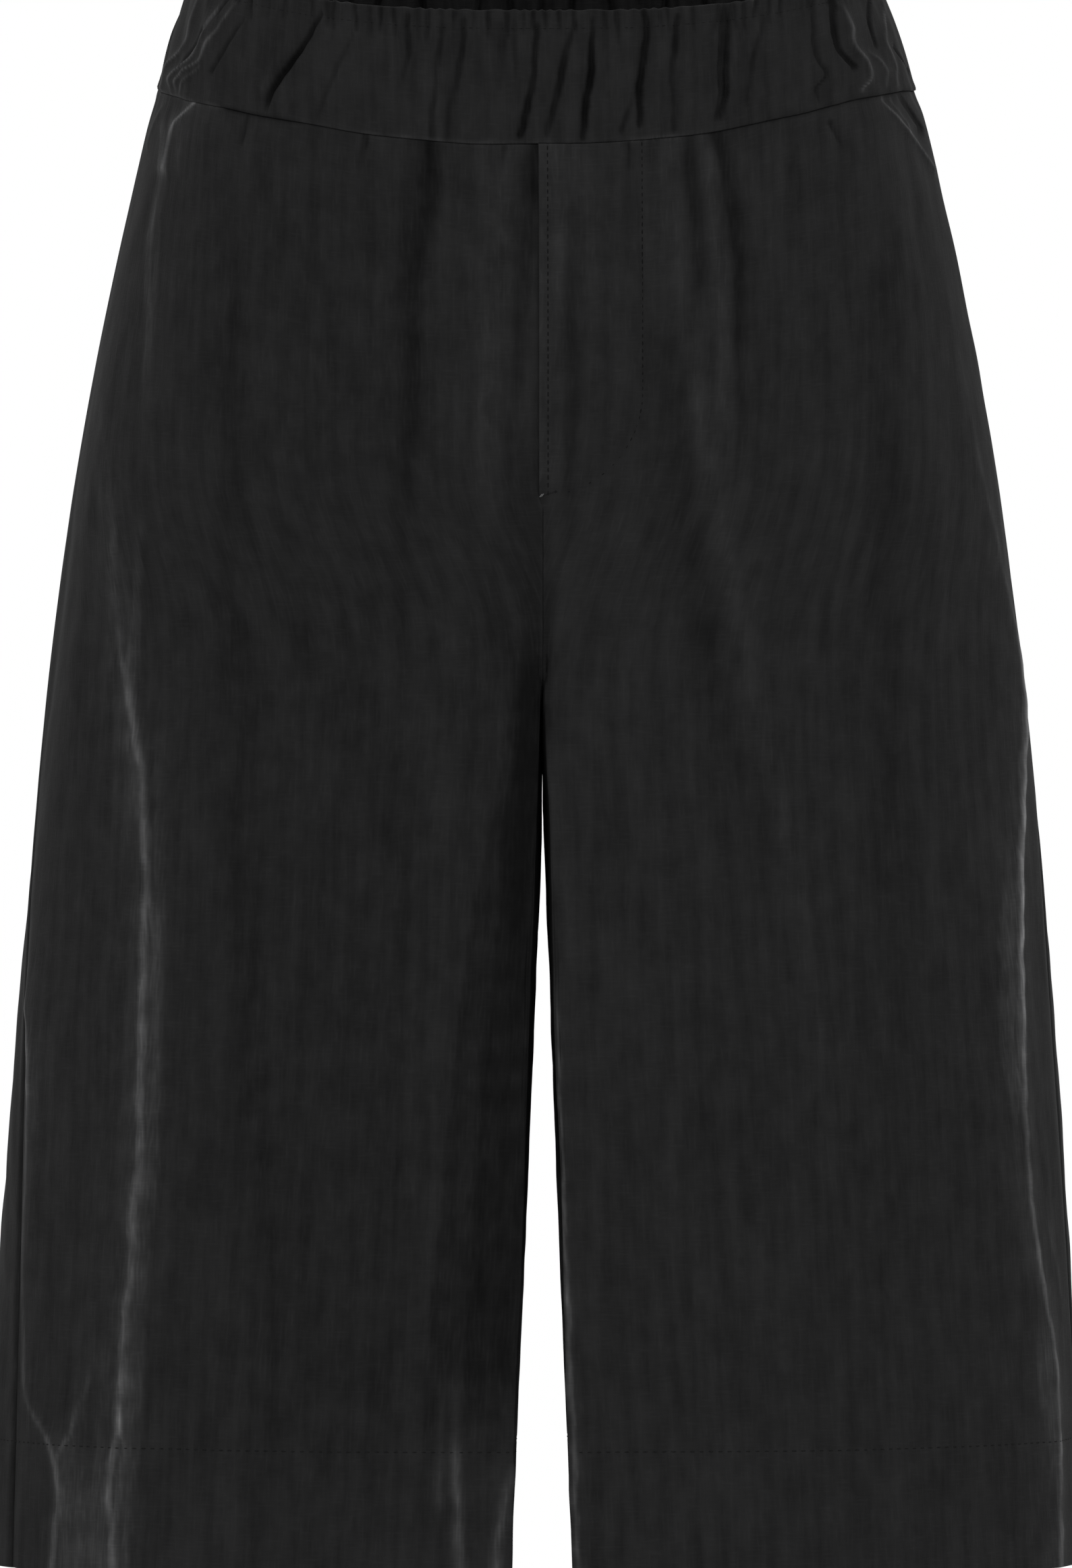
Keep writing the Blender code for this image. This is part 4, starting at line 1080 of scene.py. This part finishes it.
def facingPiece(name, material):
    # the layer behind the fly, which follows the panel in front of it
    rows = []
    edge = fly["facingEdge"]
    for level in np.linspace(fly["facingTop"], fly["foot"] + fly["facingFoot"], 62):
        stations = np.linspace(edge, flyWidth(level) - edge, 26)
        row = panelRow(level, 1, False, stations)
        behind = (row.relief - cloth["legWall"] - fly["facingGap"])[:, None]
        rows.append((row.base + behind * row.out,
                     row.base + (behind - fly["facingWall"]) * row.out,
                     clothPlace(stations + 200.0, level), np.zeros(len(stations))))
    return makeMesh(name, *(np.array(part) for part in zip(*rows)), material)


flyFacing = facingPiece("flyFacing", legLinen)

print("stitching: rows of stitches along the fly, the hems and the header")

sewing = {
    # name: (pitch, stitch length, thickness) in millimetres
    "flyEdge": (2.7, 2.0, 0.42),
    "flyCurve": (2.7, 2.0, 0.42),
    "header": (3.1, 2.3, 0.30),
    "hemLeft": (3.4, 1.9, 0.34),
    "hemRight": (3.4, 1.9, 0.34),
    "barTack": (0.5, 1.3, 0.4),
    "tackKnot": (0.3, 0.9, 0.5),
}


def stitchTree():
    tree = bpy.data.node_groups.new("stitchRow", "GeometryNodeTree")
    face = tree.interface
    face.new_socket("Line", in_out="INPUT", socket_type="NodeSocketGeometry")
    for name, start in (("Pitch", 0.003), ("Length", 0.002), ("Thickness", 0.0004),
                        ("Turn", 0.0), ("Wander", 0.15)):
        face.new_socket(name, in_out="INPUT", socket_type="NodeSocketFloat").default_value = start
    face.new_socket("Seed", in_out="INPUT", socket_type="NodeSocketInt").default_value = 3
    face.new_socket("Thread", in_out="INPUT", socket_type="NodeSocketMaterial")
    face.new_socket("Stitches", in_out="OUTPUT", socket_type="NodeSocketGeometry")
    nodes = {name: addNode(tree, kind, x, y, **settings) for name, kind, x, y, settings in (
        ("given", "NodeGroupInput", -1000, 0, {}),
        ("curve", "GeometryNodeMeshToCurve", -800, 200, {}),
        ("even", "GeometryNodeResampleCurve", -600, 200, {"mode": "LENGTH"}),
        ("tangent", "GeometryNodeInputTangent", -800, -100, {}),
        ("aim", "FunctionNodeAlignRotationToVector", -600, -100, {"axis": "X"}),
        ("turn", "FunctionNodeRotateRotation", -400, -100, {"rotation_space": "LOCAL"}),
        ("euler", "FunctionNodeEulerToRotation", -600, -300, {}),
        ("around", "ShaderNodeCombineXYZ", -800, -300, {}),
        ("bead", "GeometryNodeMeshUVSphere", -600, 500, {}),
        ("soft", "GeometryNodeSetShadeSmooth", -400, 500, {}),
        ("rough", "FunctionNodeRandomValue", -800, -500, {"data_type": "FLOAT"}),
        ("low", "ShaderNodeMath", -1000, -500, {"operation": "SUBTRACT"}),
        ("size", "ShaderNodeCombineXYZ", -600, -500, {}),
        ("longer", "ShaderNodeMath", -700, -650, {"operation": "MULTIPLY"}),
        ("place", "GeometryNodeInstanceOnPoints", -200, 200, {}),
        ("real", "GeometryNodeRealizeInstances", 0, 200, {}),
        ("colour", "GeometryNodeSetMaterial", 200, 200, {}),
        ("result", "NodeGroupOutput", 400, 200, {}))}
    setInputs(nodes["bead"], {"Segments": 8, "Rings": 5, "Radius": 0.5})
    setInputs(nodes["low"], {0: 1.0})
    setInputs(nodes["rough"], {3: 1.0})     # sockets 2 and 3 are its lowest and highest number
    for start, output, end, entry in (
            ("given", "Line", "curve", "Mesh"), ("curve", "Curve", "even", "Curve"),
            ("given", "Pitch", "even", "Length"), ("tangent", "Tangent", "aim", "Vector"),
            ("given", "Turn", "around", "Y"), ("around", "Vector", "euler", "Euler"),
            ("aim", "Rotation", "turn", "Rotation"), ("euler", "Rotation", "turn", "Rotate By"),
            ("given", "Wander", "low", 1), ("low", 0, "rough", 2),
            ("given", "Seed", "rough", "Seed"), ("given", "Length", "longer", 0),
            ("rough", 1, "longer", 1), ("longer", 0, "size", "X"),
            ("given", "Thickness", "size", "Y"), ("given", "Thickness", "size", "Z"),
            ("bead", "Mesh", "soft", "Geometry"), ("even", "Curve", "place", "Points"),
            ("soft", "Geometry", "place", "Instance"), ("turn", "Rotation", "place", "Rotation"),
            ("size", "Vector", "place", "Scale"), ("place", "Instances", "real", "Geometry"),
            ("real", "Geometry", "colour", "Geometry"), ("given", "Thread", "colour", "Material"),
            ("colour", "Geometry", "result", "Stitches")):
        tree.links.new(nodes[start].outputs[output], nodes[end].inputs[entry])
    return tree


stitchNodes = stitchTree()


def sewAlong(name, lines, sizes, material, turn=0.0):
    # lines of points, in millimetres, become a row of stitches of one plain mesh
    points, edges = [], []
    for line in lines:
        start = len(points)
        points += [tuple(point * mm) for point in line]
        edges += [(start + k, start + k + 1) for k in range(len(line) - 1)]
    guide = bpy.data.meshes.new(name + "Line")
    guide.from_pydata(points, edges, [])
    holder = addObject(name + "Line", guide)
    modifier = holder.modifiers.new("stitches", "NODES")
    modifier.node_group = stitchNodes
    values = dict(zip(("Pitch", "Length", "Thickness"), (size * mm for size in sizes)))
    values.update({"Turn": turn, "Wander": 0.2, "Seed": 7, "Thread": material})
    for socket in stitchNodes.interface.items_tree:
        if socket.in_out == "INPUT" and socket.name in values:
            modifier[socket.identifier] = values[socket.name]
    seen = bpy.context.evaluated_depsgraph_get()
    mesh = bpy.data.meshes.new_from_object(holder.evaluated_get(seen))
    mesh.name = name
    bpy.data.objects.remove(holder, do_unlink=True)
    return addObject(name, mesh)


def onPanel(level, side, back, stations, lift):
    # points on a panel's outer face, lifted a little
    row = panelRow(level, side, back, np.asarray(stations, dtype=float))
    points = row.base + (row.relief + lift)[:, None] * row.out
    if side > 0 and not back:
        points[:, 0] -= lapOver(row)
    points[:, 0] *= side
    return lean(points)


def flyLine(places):
    return [onPanel(level, 1, False, (width,), 0.02)[0] for level, width in places]


curveTop = fly["foot"] + fly["curve"]
flyDown = flyLine([(level, fly["edgeStitch"])
                   for level in np.linspace(fly["stitchTop"], fly["foot"] + 1.0, 90)])
flyRound = flyLine([(level, fly["width"]) for level in np.linspace(fly["stitchTop"], curveTop, 60)]
                   + [(curveTop - fly["curve"] * math.sin(turn), fly["width"] * math.cos(turn))
                      for turn in np.linspace(0.05, 1.5, 40)])


def hemLine(side):
    # the hem's stitching, all round one leg; it sags a little between its ends
    lines = []
    for back in (False, True):
        ring = ringAt(cloth["hemStitch"], side)
        ends = (ring.sideAt + 1.0, ring.length[-1] - 1.0) if back else (1.0, ring.sideAt - 1.0)
        for station in np.linspace(*ends, 150):
            share = (station - ends[0]) / (ends[1] - ends[0])
            level = cloth["hemStitch"] - cloth["hemSag"] * math.sin(math.pi * share)
            lines.append(onPanel(level, side, back, (station,), 0.05)[0])
    return lines


def headerLine(back):
    level = band["foot"] + band["header"] * (band["top"] - band["foot"])
    row = bandRow(level, back)
    return row.base + (row.relief - 0.05)[:, None] * row.out


stitches = {name: sewAlong(piece, lines, sewing[name], material)
            for name, piece, lines, material in (
                ("flyEdge", "flyEdge", [flyDown], flyThread),
                ("flyCurve", "flyCurve", [flyRound], flyThread),
                ("header", "headerStitch", [headerLine(False), headerLine(True)], thread),
                ("hemLeft", "hemLeft", [hemLine(1)], thread),
                ("hemRight", "hemRight", [hemLine(-1)], thread))}
# the bar tack at the J's foot, a little aslant, and the two pale ends of its thread
tackPoint = onPanel(fly["foot"] + 0.5, 1, False, (2.0,), 0.2)[0]
tackLine = [tackPoint + np.array((x, 0.0, 0.3 * x)) for x in np.linspace(-1.6, 3.4, 24)]
tackEnds = [[tackPoint + np.array((x + 0.25 * turn, -0.25, 0.3 * x + 0.3 * turn))
             for turn in (-1.0, 1.0)] for x in (-2.0, -1.5)]
stitches["barTack"] = sewAlong("barTack", [tackLine], sewing["barTack"], thread, 1.25)
stitches["tackKnot"] = sewAlong("tackKnot", tackEnds, sewing["tackKnot"], tackThread)

print("frame: every piece rides on the shorts' one body")

# flat cuts of what shows, in metres: the widest and longest of each panel, and its area
cuts = {
    "frontLeft": ((0.370, 0.610), 0.162), "frontRight": ((0.360, 0.610), 0.154),
    "backLeft": ((0.360, 0.630), 0.173), "backRight": ((0.380, 0.630), 0.178),
}
for name, (node, side, back) in panelNames.items():
    piece, (flat, area) = panels[name], cuts[name]
    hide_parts(node)
    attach(piece, "root")
for piece, node, rows in ((bandFront, "waistband_front", [stitches["header"]]),
                          (bandBack, "waistband_back", [])):
    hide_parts(node)
    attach(piece, "root")
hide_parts("fly_facing")
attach(flyFacing, "root")
for name, piece in stitches.items():
    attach(piece, "root")

print("studio: floor, lights and camera")

studio = {
    "floorHeight": -1.02,   # the wearer's ground
    "floorSize": 2.6,
    "ambient": 0.56,
    "aimHeight": -0.28,     # what the lights are turned to
    # azimuth from the camera's side, distance, height, width, length, power
    "lights": {
        "frontBox": (0, 3.4, 0.9, 2.6, 1.8, 13.0),
        "leftStrip": (-74, 2.2, -0.25, 0.25, 2.0, 1.2),
        "rightStrip": (106, 2.2, -0.25, 0.25, 2.0, 1.2),
    },
    "view": {"turn": 1.2, "distance": 4.5, "height": -0.282, "reach": 0.581},
}


def makePlain(name, colour, roughness):
    material, _, shader = newMaterial(name)
    setInputs(shader, {"Base Color": (*colour, 1.0), "Roughness": roughness})
    return material


def makeFloor():
    size, z = studio["floorSize"] / 2, studio["floorHeight"]
    mesh = bpy.data.meshes.new("floor")
    mesh.from_pydata([(-size, -size, z), (size, -size, z), (size, size, z), (-size, size, z)],
                     [], [(0, 1, 2, 3)])
    mesh.materials.append(makePlain("floorPaint", (0.82, 0.82, 0.81), 0.8))
    addObject("floor", mesh)


def makeLight(name, azimuth, distance, height, width, length, power):
    light = bpy.data.lights.new(name, "AREA")
    light.shape = "RECTANGLE"
    light.size, light.size_y = width, length
    light.energy = power
    lamp = addObject(name, light)
    turn, rise = math.radians(azimuth), height - studio["aimHeight"]
    lamp.location = (distance * math.sin(turn), -distance * math.cos(turn), height)
    lamp.rotation_euler = (math.atan2(distance, rise), 0.0, turn)


def makeWorld():
    # white behind the shorts, dimmer as a light
    world = bpy.data.worlds.new("studioWorld")
    world.use_nodes = True
    tree = world.node_tree
    tree.nodes.clear()
    seen = addNode(tree, "ShaderNodeLightPath", -600, 200)
    dim = addNode(tree, "ShaderNodeBackground", -300, 0)
    setInputs(dim, {"Color": (1.0, 1.0, 1.0, 1.0), "Strength": studio["ambient"]})
    white = addNode(tree, "ShaderNodeBackground", -300, -200)
    setInputs(white, {"Color": (1.0, 1.0, 1.0, 1.0)})
    mix = addNode(tree, "ShaderNodeMixShader", 0, 0)
    output = addNode(tree, "ShaderNodeOutputWorld", 200, 0)
    tree.links.new(seen.outputs["Is Camera Ray"], mix.inputs[0])
    tree.links.new(dim.outputs[0], mix.inputs[1])
    tree.links.new(white.outputs[0], mix.inputs[2])
    tree.links.new(mix.outputs[0], output.inputs["Surface"])
    bpy.context.scene.world = world


def makeCamera():
    view = studio["view"]
    turn = math.radians(view["turn"])
    camera = bpy.data.cameras.new("camera")
    camera.sensor_width = 36.0
    camera.lens = camera.sensor_width * view["distance"] / view["reach"]
    camera.clip_start, camera.clip_end = 0.1, 50.0
    holder = addObject("camera", camera)
    holder.location = (-view["distance"] * math.sin(turn), -view["distance"] * math.cos(turn),
                       view["height"])
    holder.rotation_euler = (math.pi / 2, 0.0, -turn)
    bpy.context.scene.camera = holder


makeFloor()
makeWorld()
makeCamera()
for name, values in studio["lights"].items():
    makeLight(name, *values)
bpy.context.scene.view_settings.view_transform = "Standard"
